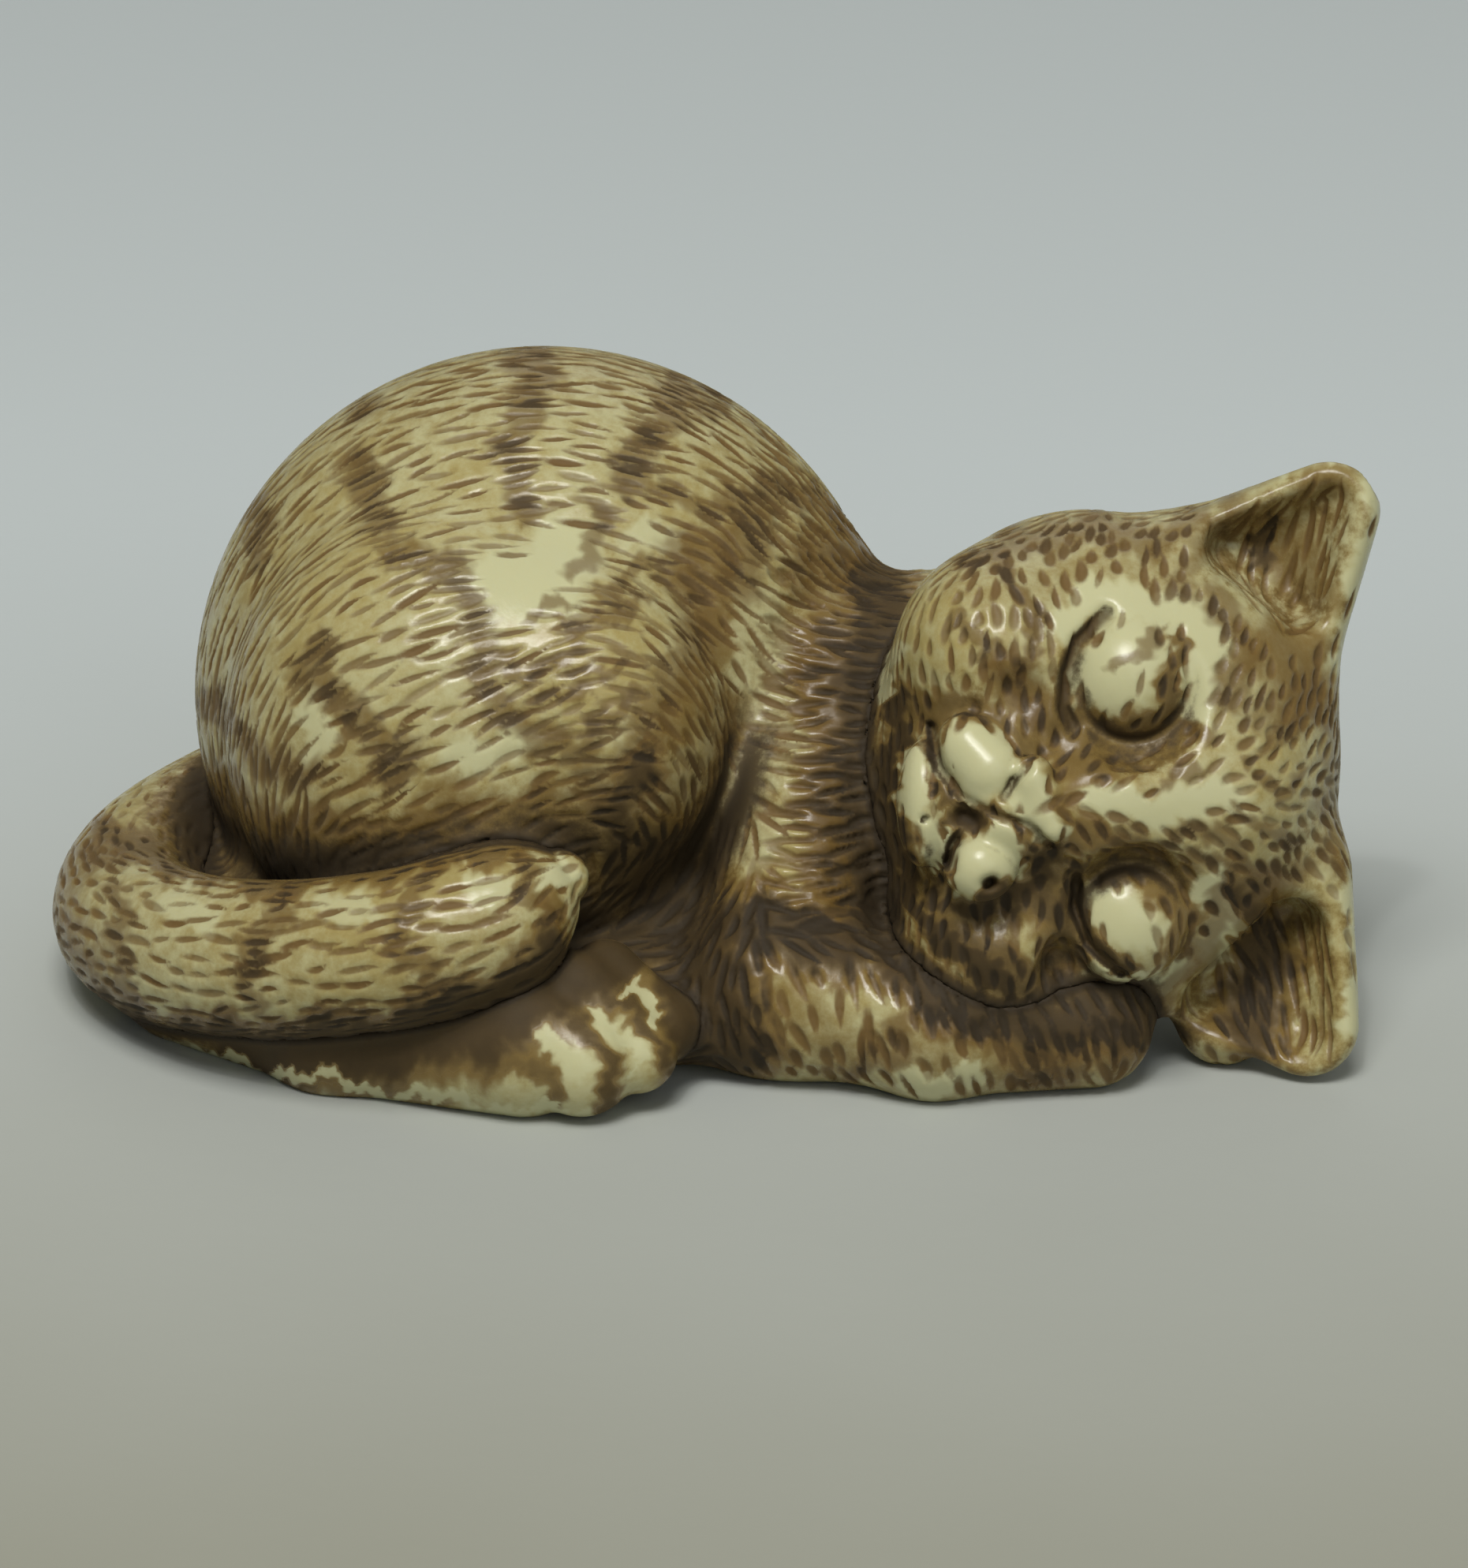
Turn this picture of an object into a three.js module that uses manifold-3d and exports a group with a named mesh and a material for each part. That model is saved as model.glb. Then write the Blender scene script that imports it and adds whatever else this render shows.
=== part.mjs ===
import * as THREE from 'three';
import { triTable } from 'three/addons/objects/MarchingCubes.js';
import { SimplifyModifier } from 'three/addons/modifiers/SimplifyModifier.js';
import { mergeVertices } from 'three/addons/utils/BufferGeometryUtils.js';
import Module from 'manifold-3d';

// A netsuke of a sleeping cat, curled up with its cheek on its forepaw. It is one solid piece.
// Sizes are in millimetres. +X runs toward the crown of the head, -Y toward the viewer, +Z up.
// The origin is on the resting plane, under the middle of the cat.

// Sizes that drive the cat
const IVORY = { color: 0xcdbf95, roughness: 0.38, metalness: 0 };
const HEAD_CENTRE = [13.5, -6, 10.1];
const FACE_TILT = 12;
const FACE_MIDDLE = -0.3;

// Each lump is an ellipsoid (centre, radii, turn in degrees about X, Y and Z) or a limb with round
// ends (from, to, thick: the radius at each end). blend is how softly it flows into what comes
// before it in its list.
const TORSO = [
  { centre: [-6.4, 3.6, 9.2], radii: [12.8, 10.9, 12.9] },
  { centre: [2.6, 2.6, 6.6], radii: [6, 7.6, 8], blend: 2 },
  { centre: [-4.5, -0.5, 2], radii: [18, 11, 3.2], blend: 1.2 },
];
const HAUNCH = [
  { centre: [-9, -2.6, 9.8], radii: [8.6, 7.9, 9.2], turn: [0, -10, 8] },
  { centre: [-4.1, -4.9, 11.9], radii: [4.4, 5.3, 5.5], turn: [0, -20, 0], blend: 1.6 },
];
const SHOULDER = [
  { centre: [4.2, -1.6, 7.4], radii: [4.8, 4.9, 7], turn: [0, -6, 0] },
  { centre: [7.8, 1.4, 7.6], radii: [6.6, 7.2, 6.8], blend: 2.5 },
  { centre: [3, -2, 3], radii: [9, 6.5, 4.5], blend: 1.5 },
  { centre: [7.8, -4.4, 6.5], radii: [3.4, 4, 6.6], blend: 1 },
];
const FORELEG = [
  { from: [3.2, -4.8, 8.6], to: [2.2, -8.8, 3], thick: [3, 3.1] },
  { from: [2.2, -8.8, 3], to: [7.5, -10.7, 2.3], thick: [3, 2.5], blend: 1.2 },
  { from: [7.5, -10.7, 2.3], to: [13, -10.2, 2.1], thick: [2.5, 2.2], blend: 0.8 },
];
const HIND_FOOT = [
  { from: [-19, -5.5, 1.6], to: [-13.5, -9.8, 1.8], thick: [2.2, 2.3] },
  { from: [-13.5, -9.8, 1.8], to: [-6.8, -12.2, 2.2], thick: [2.3, 2.5], blend: 1 },
  { from: [-6.7, -12.2, 2.8], to: [-4.8, -13, 2], thick: [2.1, 1.95], blend: 0.35 },
  { from: [-4.9, -11.5, 3.9], to: [-2.9, -12.5, 2.1], thick: [1.5, 1.45], blend: 0.35 },
  { from: [-4, -10.5, 4.1], to: [-2.2, -11.3, 2.5], thick: [1.3, 1.3], blend: 0.35 },
];

// The tail comes round from behind and lies over the hind foot: x, y, z and radius.
const TAIL = [
  [-8, 12, 5.6, 2.2], [-14, 10.6, 4, 2.5], [-18.7, 6.6, 3.1, 2.65], [-21.1, 1.8, 2.9, 2.75],
  [-21.1, -3.4, 3.1, 2.8], [-18.6, -8, 4, 2.75], [-15, -10.9, 5, 2.7], [-11.2, -12.3, 6, 2.7],
  [-8.4, -12.1, 6.7, 2.65], [-7.2, -11.7, 7.1, 2.3], [-6, -11.2, 7.8, 1.2], [-5.5, -11, 8, 1],
];
const TAIL_STEPS = 44;

// The head lies on its cheek. Its own axes run to the crown, to the upper ear and out of the face.
const SKULL = [
  { centre: [-0.6, 0.35, -0.5], radii: [7.6, 8.75, 7] },
  { centre: [3.4, 0.3, -0.8], radii: [5, 8.3, 5.9], blend: 1.5 },
];
const CHEEK = { centre: [-3.9, 4.9, 2], radii: [3.4, 3.4, 3.9], blend: 1.2 };
const MUZZLE = { centre: [-4.1, 0, 4.2], radii: [3, 3.3, 3], blend: 0.8 };
const BRIDGE = { from: [-2.6, 0, 6.2], to: [3.6, 0, 3.4], thick: [1.1, 2.4], blend: 1.8 };
const EYE_SOCKET = { centre: [0.9, 4.15, 6.6], radii: [2.75, 2.9, 2.3], blend: 0.5 };
const EYE_LID = { centre: [0.6, 4.2, 4], radii: [2.3, 2.3, 2.05], blend: 0.3 };
const SNOUT = [
  { from: [-4.95, 2.05, 5.8], to: [-4.25, 1.35, 6.3], thick: [1.2, 1.15], blend: 0.2 },
  { from: [-2.85, 1.2, 6.9], to: [-2.15, -0.45, 7.1], thick: [0.8, 0.6], blend: 0.2 },
  { centre: [-4.55, -1.95, 6.3], radii: [1.3, 1.25, 1.4], blend: 0.2 },
  { centre: [-6.5, -0.1, 4.8], radii: [0.9, 2.2, 1.6], blend: 0.25 },
];

// Each ear is a rounded triangle in the plane of the face, with a shallow hollow in it. depth is
// how far out of the face its middle lies at the root and at the tip.
const EARS = [
  { root: [[2.2, 6.8], [6.1, 3.2]], tip: [7.8, 9.25], round: 1.8, depth: [-0.8, 0.4],
    hollow: { root: [[4.3, 8], [6.8, 5.5]], tip: [7.7, 9.6], round: 0.8 } },
  { root: [[2.4, -6.6], [6.8, -3.4]], tip: [7.1, -8.75], round: 1.9, depth: [0, 1.9],
    hollow: { root: [[3.9, -7.9], [6.5, -5.3]], tip: [6.9, -9], round: 1.1 } },
];
const EAR_THICK = [2.8, 1.5];
const EAR_EDGE = 1.8;
const EAR_RUN = [-0.3, 1.3]; // how far past its root and its tip an ear's middle line is followed
const HOLLOW_EDGE = 2.2;
const HOLLOW_FLOOR = -0.4;
const EAR_FOLD = { centre: [4.3, -8.8, 0.6], radii: [1.7, 1.7, 1.6], blend: 0.6 };

// The forms run on this far below the resting plane, where the cat is cut off flat.
const CUT_DEPTH = 0.9;

// How softly each part of the cat flows into the rest
const BLEND = {
  haunch: 0.8, shoulder: 1, foreleg: 1.1, head: 0.8, foot: 0.8, tail: 0.9, ear: 1, hollow: 0.9,
};

// The surface is drawn on a fine grid, evened out, and then thinned where it is nearly flat.
const GRID = { step: 0.55, from: [-25, -17.5, -1.4], to: [24.5, 16.5, 23] };
const EDGE_MARGIN = 0.1;
const EVENING_ROUNDS = 3;
const EVENING_STEP = 0.4;
const EVENING_MISS = 0.03;
const TRIANGLES = 9400;
const SLOPE_STEP = 0.04;
const MERGE_WITHIN = 1e-4;
const NEARLY_ZERO = 1e-9;

const mix = (a, b, t) => a + (b - a) * t;
const clamp = (value, low, high) => Math.min(Math.max(value, low), high);

// The smaller of two distances, rounded where they meet
function softMin(a, b, blend) {
  if (!blend) return Math.min(a, b);
  const share = clamp(0.5 + 0.5 * (b - a) / blend, 0, 1);
  return mix(b, a, share) - blend * share * (1 - share);
}

const softMax = (a, b, blend) => -softMin(-a, -b, blend);

// A lump's turn as a matrix that takes a point into the lump's own axes
function turnOf([x, y, z]) {
  const angles = [x, y, z].map(THREE.MathUtils.degToRad);
  return new THREE.Matrix4().makeRotationFromEuler(new THREE.Euler(...angles, 'ZYX')).transpose();
}

function ellipsoid(item) {
  const centre = new THREE.Vector3(...item.centre);
  const radii = new THREE.Vector3(...item.radii);
  const turn = item.turn ? turnOf(item.turn) : null;
  const q = new THREE.Vector3();
  return (p) => {
    q.copy(p).sub(centre);
    if (turn) q.applyMatrix4(turn);
    q.divide(radii);
    const reach = q.length();
    const steep = q.divide(radii).length();
    return steep > NEARLY_ZERO ? reach * (reach - 1) / steep : -Math.min(...item.radii);
  };
}

function limb(item) {
  const line = new THREE.Line3(new THREE.Vector3(...item.from), new THREE.Vector3(...item.to));
  const near = new THREE.Vector3();
  return (p) => {
    const along = line.closestPointToPointParameter(p, true);
    return line.at(along, near).distanceTo(p) - mix(item.thick[0], item.thick[1], along);
  };
}

const lump = (item) => ({ blend: item.blend, distance: (item.radii ? ellipsoid : limb)(item) });

// The distance to the first of some forms, with each of the others blended into it in turn
function joined([first, ...others]) {
  return (p) => others.reduce(
    (sum, { distance, blend }) => softMin(sum, distance(p), blend),
    first.distance(p),
  );
}

const cluster = (items) => joined(items.map(lump));

// Places at even steps along a smooth curve
const steps = (points) => new THREE.CatmullRomCurve3(points, false, 'catmullrom').getPoints(TAIL_STEPS);

function tail() {
  const middles = steps(TAIL.map(([x, y, z]) => new THREE.Vector3(x, y, z)));
  const places = middles.map((middle) => middle.toArray());
  const radii = steps(TAIL.map((row) => new THREE.Vector3(row[3]))).map(({ x }) => x);
  return cluster(places.slice(1).map((to, i) => (
    { from: places[i], to, thick: [radii[i], radii[i + 1]], blend: 0 })));
}

// The distance in the plane of the face to a triangle, negative inside it
function triangle([first, last], tip) {
  const corners = [first, tip, last].map(([x, y]) => new THREE.Vector2(x, y));
  const edges = corners.map((corner, i) => corners[(i + 1) % 3].clone().sub(corner));
  const side = Math.sign(edges[0].cross(edges[1]));
  const w = new THREE.Vector2();
  return (x, y) => {
    let nearest = Infinity;
    let inside = true;
    edges.forEach((edge, i) => {
      w.set(x, y).sub(corners[i]);
      inside &&= side * edge.cross(w) > 0;
      w.addScaledVector(edge, -clamp(w.dot(edge) / edge.lengthSq(), 0, 1));
      nearest = Math.min(nearest, w.length());
    });
    return inside ? -nearest : nearest;
  };
}

function ear({ root, tip, round, depth, hollow }) {
  const middle = new THREE.Vector2(...root[0]).add(new THREE.Vector2(...root[1])).divideScalar(2);
  const axis = new THREE.Vector2(...tip).sub(middle);
  const outline = triangle(root, tip);
  const bowl = triangle(hollow.root, hollow.tip);
  const q = new THREE.Vector2();
  const out = (p) => {
    const along = clamp(q.set(p.x, p.y).sub(middle).dot(axis) / axis.lengthSq(), ...EAR_RUN);
    return { along, out: p.z - mix(depth[0], depth[1], along) };
  };
  return {
    plate: (p) => {
      const place = out(p);
      const face = Math.abs(place.out) - mix(EAR_THICK[0], EAR_THICK[1], place.along);
      return softMax(outline(p.x, p.y) - round, face, EAR_EDGE);
    },
    hollow: (p) => softMax(bowl(p.x, p.y) - hollow.round, HOLLOW_FLOOR - out(p).out, HOLLOW_EDGE),
  };
}

// What makes a lump on the upper half of the face, and its mirror image on the lower half
const HALVES = [
  (item) => item,
  (item) => ({ ...item, centre: [item.centre[0], -item.centre[1], item.centre[2]] }),
];

function head() {
  const tilt = THREE.MathUtils.degToRad(FACE_TILT);
  const toSide = new THREE.Vector3(0, Math.sin(tilt), Math.cos(tilt));
  const toFace = new THREE.Vector3(0, -Math.cos(tilt), Math.sin(tilt));
  const centre = new THREE.Vector3(...HEAD_CENTRE);
  const skull = cluster(SKULL);
  const cheeks = HALVES.map((half) => ellipsoid(half(CHEEK)));
  const muzzle = ellipsoid(MUZZLE);
  const bridge = limb(BRIDGE);
  const eyes = HALVES.map((half) => (
    { socket: ellipsoid(half(EYE_SOCKET)), lid: ellipsoid(half(EYE_LID)) }));
  const snout = SNOUT.map(lump);
  const ears = EARS.map(ear);
  const fold = ellipsoid(EAR_FOLD);
  const q = new THREE.Vector3();
  const h = new THREE.Vector3();
  const f = new THREE.Vector3();
  return (p) => {
    q.copy(p).sub(centre);
    h.set(q.x, q.dot(toSide), q.dot(toFace));
    f.copy(h).setY(h.y - FACE_MIDDLE);
    let d = skull(h);
    cheeks.forEach((cheek) => { d = softMin(d, cheek(f), CHEEK.blend); });
    d = softMin(d, muzzle(f), MUZZLE.blend);
    d = softMin(d, bridge(f), BRIDGE.blend);
    eyes.forEach(({ socket, lid }) => {
      d = softMax(d, -socket(f), EYE_SOCKET.blend);
      d = softMin(d, lid(f), EYE_LID.blend);
    });
    snout.forEach(({ blend, distance }) => { d = softMin(d, distance(f), blend); });
    ears.forEach(({ plate }) => { d = softMin(d, plate(h), BLEND.ear); });
    d = softMin(d, fold(h), EAR_FOLD.blend);
    ears.forEach(({ hollow }) => { d = softMax(d, -hollow(h), BLEND.hollow); });
    return d;
  };
}

// The distance from a point to the cat's surface, negative inside the cat
function catDistance() {
  const cat = joined([
    { distance: cluster(TORSO) },
    { distance: cluster(HAUNCH), blend: BLEND.haunch },
    { distance: cluster(SHOULDER), blend: BLEND.shoulder },
    { distance: cluster(FORELEG), blend: BLEND.foreleg },
    { distance: head(), blend: BLEND.head },
    { distance: cluster(HIND_FOOT), blend: BLEND.foot },
    { distance: tail(), blend: BLEND.tail },
  ]);
  return (p) => Math.max(cat(p), -CUT_DEPTH - p.z);
}

// Grid stations along one axis
function stations(axis) {
  const count = Math.ceil((GRID.to[axis] - GRID.from[axis]) / GRID.step);
  return Array.from({ length: count + 1 }, (_, i) => GRID.from[axis] + i * GRID.step);
}

// Corners of a grid cell and the pairs that its twelve edges join, in the order of the table
const CELL_CORNERS = [
  [0, 0, 0], [1, 0, 0], [1, 1, 0], [0, 1, 0], [0, 0, 1], [1, 0, 1], [1, 1, 1], [0, 1, 1],
];
const CELL_EDGES = [
  [0, 1], [1, 2], [3, 2], [0, 3], [4, 5], [5, 6], [7, 6], [4, 7], [0, 4], [1, 5], [2, 6], [3, 7],
];
const TABLE_ROW = 16;

// The triangles of the surface where the distance is nought, as one merged geometry
function surface(distance) {
  const [xs, ys, zs] = [0, 1, 2].map(stations);
  const slot = (i, j, k) => (i * ys.length + j) * zs.length + k;
  const values = new Float64Array(xs.length * ys.length * zs.length);
  xs.forEach((x, i) => ys.forEach((y, j) => zs.forEach((z, k) => {
    values[slot(i, j, k)] = distance(new THREE.Vector3(x, y, z));
  })));
  const positions = [];
  for (let i = 0; i < xs.length - 1; i += 1) {
    for (let j = 0; j < ys.length - 1; j += 1) {
      for (let k = 0; k < zs.length - 1; k += 1) {
        const corners = CELL_CORNERS.map(([a, b, c]) => ({
          at: new THREE.Vector3(xs[i + a], ys[j + b], zs[k + c]),
          value: values[slot(i + a, j + b, k + c)],
        }));
        const row = TABLE_ROW * corners.reduce((sum, { value }, n) => sum + (value < 0 ? 1 << n : 0), 0);
        for (let n = row; triTable[n] >= 0; n += 1) {
          const [start, end] = CELL_EDGES[triTable[n]].map((corner) => corners[corner]);
          const share = clamp(start.value / (start.value - end.value), EDGE_MARGIN, 1 - EDGE_MARGIN);
          positions.push(...start.at.clone().lerp(end.at, share).toArray());
        }
      }
    }
  }
  const geometry = new THREE.BufferGeometry();
  geometry.setAttribute('position', new THREE.Float32BufferAttribute(positions, 3));
  const merged = mergeVertices(geometry, MERGE_WITHIN);
  merged.index.array.reverse(); // the table winds its triangles inward
  return merged;
}

// The direction straight out of the surface at a point
function slopeAt(distance, p) {
  const slope = new THREE.Vector3();
  for (const axis of ['x', 'y', 'z']) {
    const ahead = p.clone();
    const behind = p.clone();
    ahead[axis] += SLOPE_STEP;
    behind[axis] -= SLOPE_STEP;
    slope[axis] = distance(ahead) - distance(behind);
  }
  return slope.normalize();
}

// Where a vertex goes to be spread evenly among its neighbours on the surface, or in a crease too
// tight for the grid, just among its neighbours
function evened(point, around, distance) {
  const middle = new THREE.Vector3();
  around.forEach((other) => middle.addScaledVector(other, 1 / around.length));
  const slope = slopeAt(distance, point);
  const shift = middle.clone().sub(point).multiplyScalar(EVENING_STEP);
  const target = point.clone().add(shift).addScaledVector(slope, -shift.dot(slope));
  target.addScaledVector(slopeAt(distance, target), -distance(target));
  return Math.abs(distance(target)) < EVENING_MISS ? target : point.clone().lerp(middle, EVENING_STEP);
}

function even(geometry, distance) {
  const position = geometry.attributes.position;
  const neighbours = Array.from({ length: position.count }, () => new Set());
  const index = geometry.index.array;
  index.forEach((vertex, n) => {
    const next = index[n - (n % 3) + ((n + 1) % 3)];
    neighbours[vertex].add(next);
    neighbours[next].add(vertex);
  });
  let points = neighbours.map((_, n) => new THREE.Vector3().fromBufferAttribute(position, n));
  for (let round = 0; round < EVENING_ROUNDS; round += 1) {
    const around = neighbours.map((some) => [...some].map((other) => points[other]));
    points = points.map((point, n) => evened(point, around[n], distance));
  }
  points.forEach((point, n) => position.setXYZ(n, ...point.toArray()));
  return geometry;
}

const wasm = await Module();
wasm.setup();

function solidOf(geometry) {
  geometry.deleteAttribute('normal');
  geometry.deleteAttribute('uv');
  const merged = mergeVertices(geometry);
  return new wasm.Manifold(new wasm.Mesh({
    numProp: 3,
    vertProperties: new Float32Array(merged.attributes.position.array),
    triVerts: new Uint32Array(merged.index.array),
  }));
}

function geometryOf(solid) {
  const mesh = solid.getMesh();
  const geometry = new THREE.BufferGeometry();
  geometry.setAttribute('position', new THREE.Float32BufferAttribute(mesh.vertProperties, 3));
  geometry.setIndex(Array.from(mesh.triVerts));
  geometry.computeVertexNormals();
  return geometry;
}

// The surface with only the triangles that its form needs
async function thinned(geometry) {
  const spare = geometry.index.count / 3 - TRIANGLES;
  return new SimplifyModifier().modify(geometry, Math.ceil(spare / 2));
}

// The cat, cut flat where it rests and centred on its resting plane
async function sleepingCat() {
  const distance = catDistance();
  const carved = solidOf(await thinned(even(surface(distance), distance)));
  const depth = -GRID.from[2];
  const below = new THREE.BoxGeometry(GRID.to[0] - GRID.from[0], GRID.to[1] - GRID.from[1], depth);
  below.translate(0, 0, -depth / 2);
  const geometry = geometryOf(carved.subtract(solidOf(below)));
  geometry.computeBoundingBox();
  const middle = geometry.boundingBox.getCenter(new THREE.Vector3());
  const mesh = new THREE.Mesh(geometry, new THREE.MeshStandardMaterial(IVORY));
  mesh.name = 'sleeping_cat';
  mesh.position.set(-middle.x, -middle.y, 0);
  return mesh;
}

const netsuke = new THREE.Group();
netsuke.add(await sleepingCat());

export default netsuke;
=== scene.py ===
import math

import bpy
import numpy as np
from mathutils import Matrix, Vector, kdtree


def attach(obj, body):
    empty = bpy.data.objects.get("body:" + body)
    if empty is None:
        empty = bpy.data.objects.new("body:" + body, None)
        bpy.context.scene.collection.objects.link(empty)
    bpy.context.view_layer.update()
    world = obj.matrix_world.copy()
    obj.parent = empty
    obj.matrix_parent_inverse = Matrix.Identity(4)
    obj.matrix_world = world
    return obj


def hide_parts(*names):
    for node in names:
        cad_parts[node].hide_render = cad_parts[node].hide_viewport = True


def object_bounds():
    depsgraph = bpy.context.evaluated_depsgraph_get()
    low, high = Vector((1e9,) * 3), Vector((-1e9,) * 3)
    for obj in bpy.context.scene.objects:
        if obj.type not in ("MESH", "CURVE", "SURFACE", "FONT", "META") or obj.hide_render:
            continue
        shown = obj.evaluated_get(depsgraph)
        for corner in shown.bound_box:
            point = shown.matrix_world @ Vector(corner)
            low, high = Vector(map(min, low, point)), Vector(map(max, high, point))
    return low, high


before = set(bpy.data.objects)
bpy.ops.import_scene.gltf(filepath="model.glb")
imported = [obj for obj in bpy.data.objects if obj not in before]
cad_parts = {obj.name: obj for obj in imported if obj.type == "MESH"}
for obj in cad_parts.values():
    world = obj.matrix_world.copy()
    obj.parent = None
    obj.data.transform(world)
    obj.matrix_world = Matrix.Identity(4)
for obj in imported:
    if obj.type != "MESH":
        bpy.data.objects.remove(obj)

# A netsuke of a sleeping tabby cat in ivory-coloured resin, stained brown in its carved fur.
# The forms are in millimetres, in the same axes as the CAD part, and become metres at the end.
CAD_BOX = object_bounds()
MM = 0.001
SEED = 11

# Forms of the cat

# A ball is an ellipsoid, turned in degrees about X, Y and Z. A bone is a limb with round ends.
# blend is how softly a lump flows into what comes before it in its list.
def ball(centre, radii, blend=0, turn=None):
    return {"centre": centre, "radii": radii, "blend": blend, "turn": turn}


def bone(start, end, thick, blend=0):
    return {"from": start, "to": end, "thick": thick, "blend": blend}


TORSO = [
    ball((-6.4, 3.6, 9.2), (12.8, 10.9, 12.9)),
    ball((2.6, 2.6, 6.6), (6, 7.6, 8), 2),
    ball((-4.5, -0.5, 2), (18, 11, 3.2), 1.2),
]
HAUNCH = [
    ball((-9, -2.6, 9.8), (8.6, 7.9, 9.2), turn=(0, -10, 8)),
    ball((-4.1, -4.9, 11.9), (4.4, 5.3, 5.5), 1.6, turn=(0, -20, 0)),
]
SHOULDER = [
    ball((4.2, -1.6, 7.4), (4.8, 4.9, 7), turn=(0, -6, 0)),
    ball((7.8, 1.4, 7.6), (6.6, 7.2, 6.8), 2.5),
    ball((3, -2, 3), (9, 6.5, 4.5), 1.5),
    ball((7.8, -4.4, 6.5), (3.4, 4, 6.6), 1),
]
FORELEG = [
    bone((3.2, -4.8, 8.6), (2.2, -8.8, 3), (3, 3.1)),
    bone((2.2, -8.8, 3), (7.5, -10.7, 2.3), (3, 2.5), 1.2),
    bone((7.5, -10.7, 2.3), (13, -10.2, 2.1), (2.5, 2.2), 0.8),
]
HIND_FOOT = [
    bone((-19, -5.5, 1.6), (-13.5, -9.8, 1.8), (2.2, 2.3)),
    bone((-13.5, -9.8, 1.8), (-6.8, -12.2, 2.2), (2.3, 2.5), 1),
    bone((-6.7, -12.2, 2.8), (-4.8, -13, 2), (2.1, 1.95), 0.35),
    bone((-4.9, -11.5, 3.9), (-2.9, -12.5, 2.1), (1.5, 1.45), 0.35),
    bone((-4, -10.5, 4.1), (-2.2, -11.3, 2.5), (1.3, 1.3), 0.35),
]
TAIL = [
    (-8, 12, 5.6, 2.2), (-14, 10.6, 4, 2.5), (-18.7, 6.6, 3.1, 2.65), (-21.1, 1.8, 2.9, 2.75),
    (-21.1, -3.4, 3.1, 2.8), (-18.6, -8, 4, 2.75), (-15, -10.9, 5, 2.7), (-11.2, -12.3, 6, 2.7),
    (-8.4, -12.1, 6.7, 2.65), (-7.2, -11.7, 7.1, 2.3), (-6, -11.2, 7.8, 1.2), (-5.5, -11, 8, 1),
]
TAIL_STEPS = 44

# The head lies on its cheek. Its own axes run to the crown, to the upper ear and out of the face.
HEAD_CENTRE = (13.5, -6, 10.1)
FACE_TILT = 12
FACE_MIDDLE = -0.3
SKULL = [
    ball((-0.6, 0.35, -0.5), (7.6, 8.75, 7)),
    ball((3.4, 0.3, -0.8), (5, 8.3, 5.9), 1.5),
]
CHEEK = ball((-3.9, 4.9, 2), (3.4, 3.4, 3.9), 1.2)
MUZZLE = ball((-4.1, 0, 4.2), (3, 3.3, 3), 0.8)
BRIDGE = bone((-2.6, 0, 6.2), (3.6, 0, 3.4), (1.1, 2.4), 1.8)
EYE_SOCKET = ball((0.9, 4.15, 6.6), (2.75, 2.9, 2.3), 0.5)
EYE_LID = ball((0.6, 4.2, 4), (2.3, 2.3, 2.05), 0.3)
SNOUT = [
    bone((-4.95, 2.05, 5.8), (-4.25, 1.35, 6.3), (1.2, 1.15), 0.2),
    bone((-2.85, 1.2, 6.9), (-2.15, -0.45, 7.1), (0.8, 0.6), 0.2),
    ball((-4.55, -1.95, 6.3), (1.3, 1.25, 1.4), 0.2),
    ball((-6.5, -0.1, 4.8), (0.9, 2.2, 1.6), 0.25),
]
# Hollows beside the nose and under the jaw
DENTS = [
    ball((-1.8, 2.5, 7.4), (1.4, 1.1, 1.8)),
    ball((-3, 3.9, 6.8), (1.3, 1, 1.3)),
    ball((-2.1, -2.9, 7.2), (1.4, 1.2, 1.5)),
    ball((-4.1, -3.8, 6.8), (1.7, 0.9, 1.2)),
    ball((-1.7, -5.9, 5.3), (0.7, 1, 1.2)),
]
DENT_EDGE = 0.7
EARS = [
    {"root": ((2.2, 6.8), (6.1, 3.2)), "tip": (7.8, 9.25), "round": 1.8, "depth": (-0.8, 0.4),
     "hollow": {"root": ((4.3, 8), (6.7, 6.1)), "tip": (7.7, 9.6), "round": 0.8}},
    {"root": ((2.4, -6.6), (6.8, -3.4)), "tip": (7.1, -8.75), "round": 1.9, "depth": (0, 1.9),
     "hollow": {"root": ((3.9, -7.9), (6.5, -5.3)), "tip": (6.9, -9), "round": 1.1}},
]
EAR_THICK = (2.8, 1.5)
EAR_RUN = (-0.3, 1.3)
EAR_EDGE = 1.8
HOLLOW_EDGE = 2.2
HOLLOW_FLOOR = -0.4
EAR_FOLD = ball((4.3, -8.8, 0.6), (1.7, 1.7, 1.6), 0.6)
PARTS = ("torso", "haunch", "shoulder", "foreleg", "head", "foot", "tail")
BLEND = {"torso": 0, "haunch": 0.8, "shoulder": 1, "foreleg": 1.1, "head": 0.8, "foot": 0.8,
         "tail": 0.9, "ear": 1, "hollow": 0.9}

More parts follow.
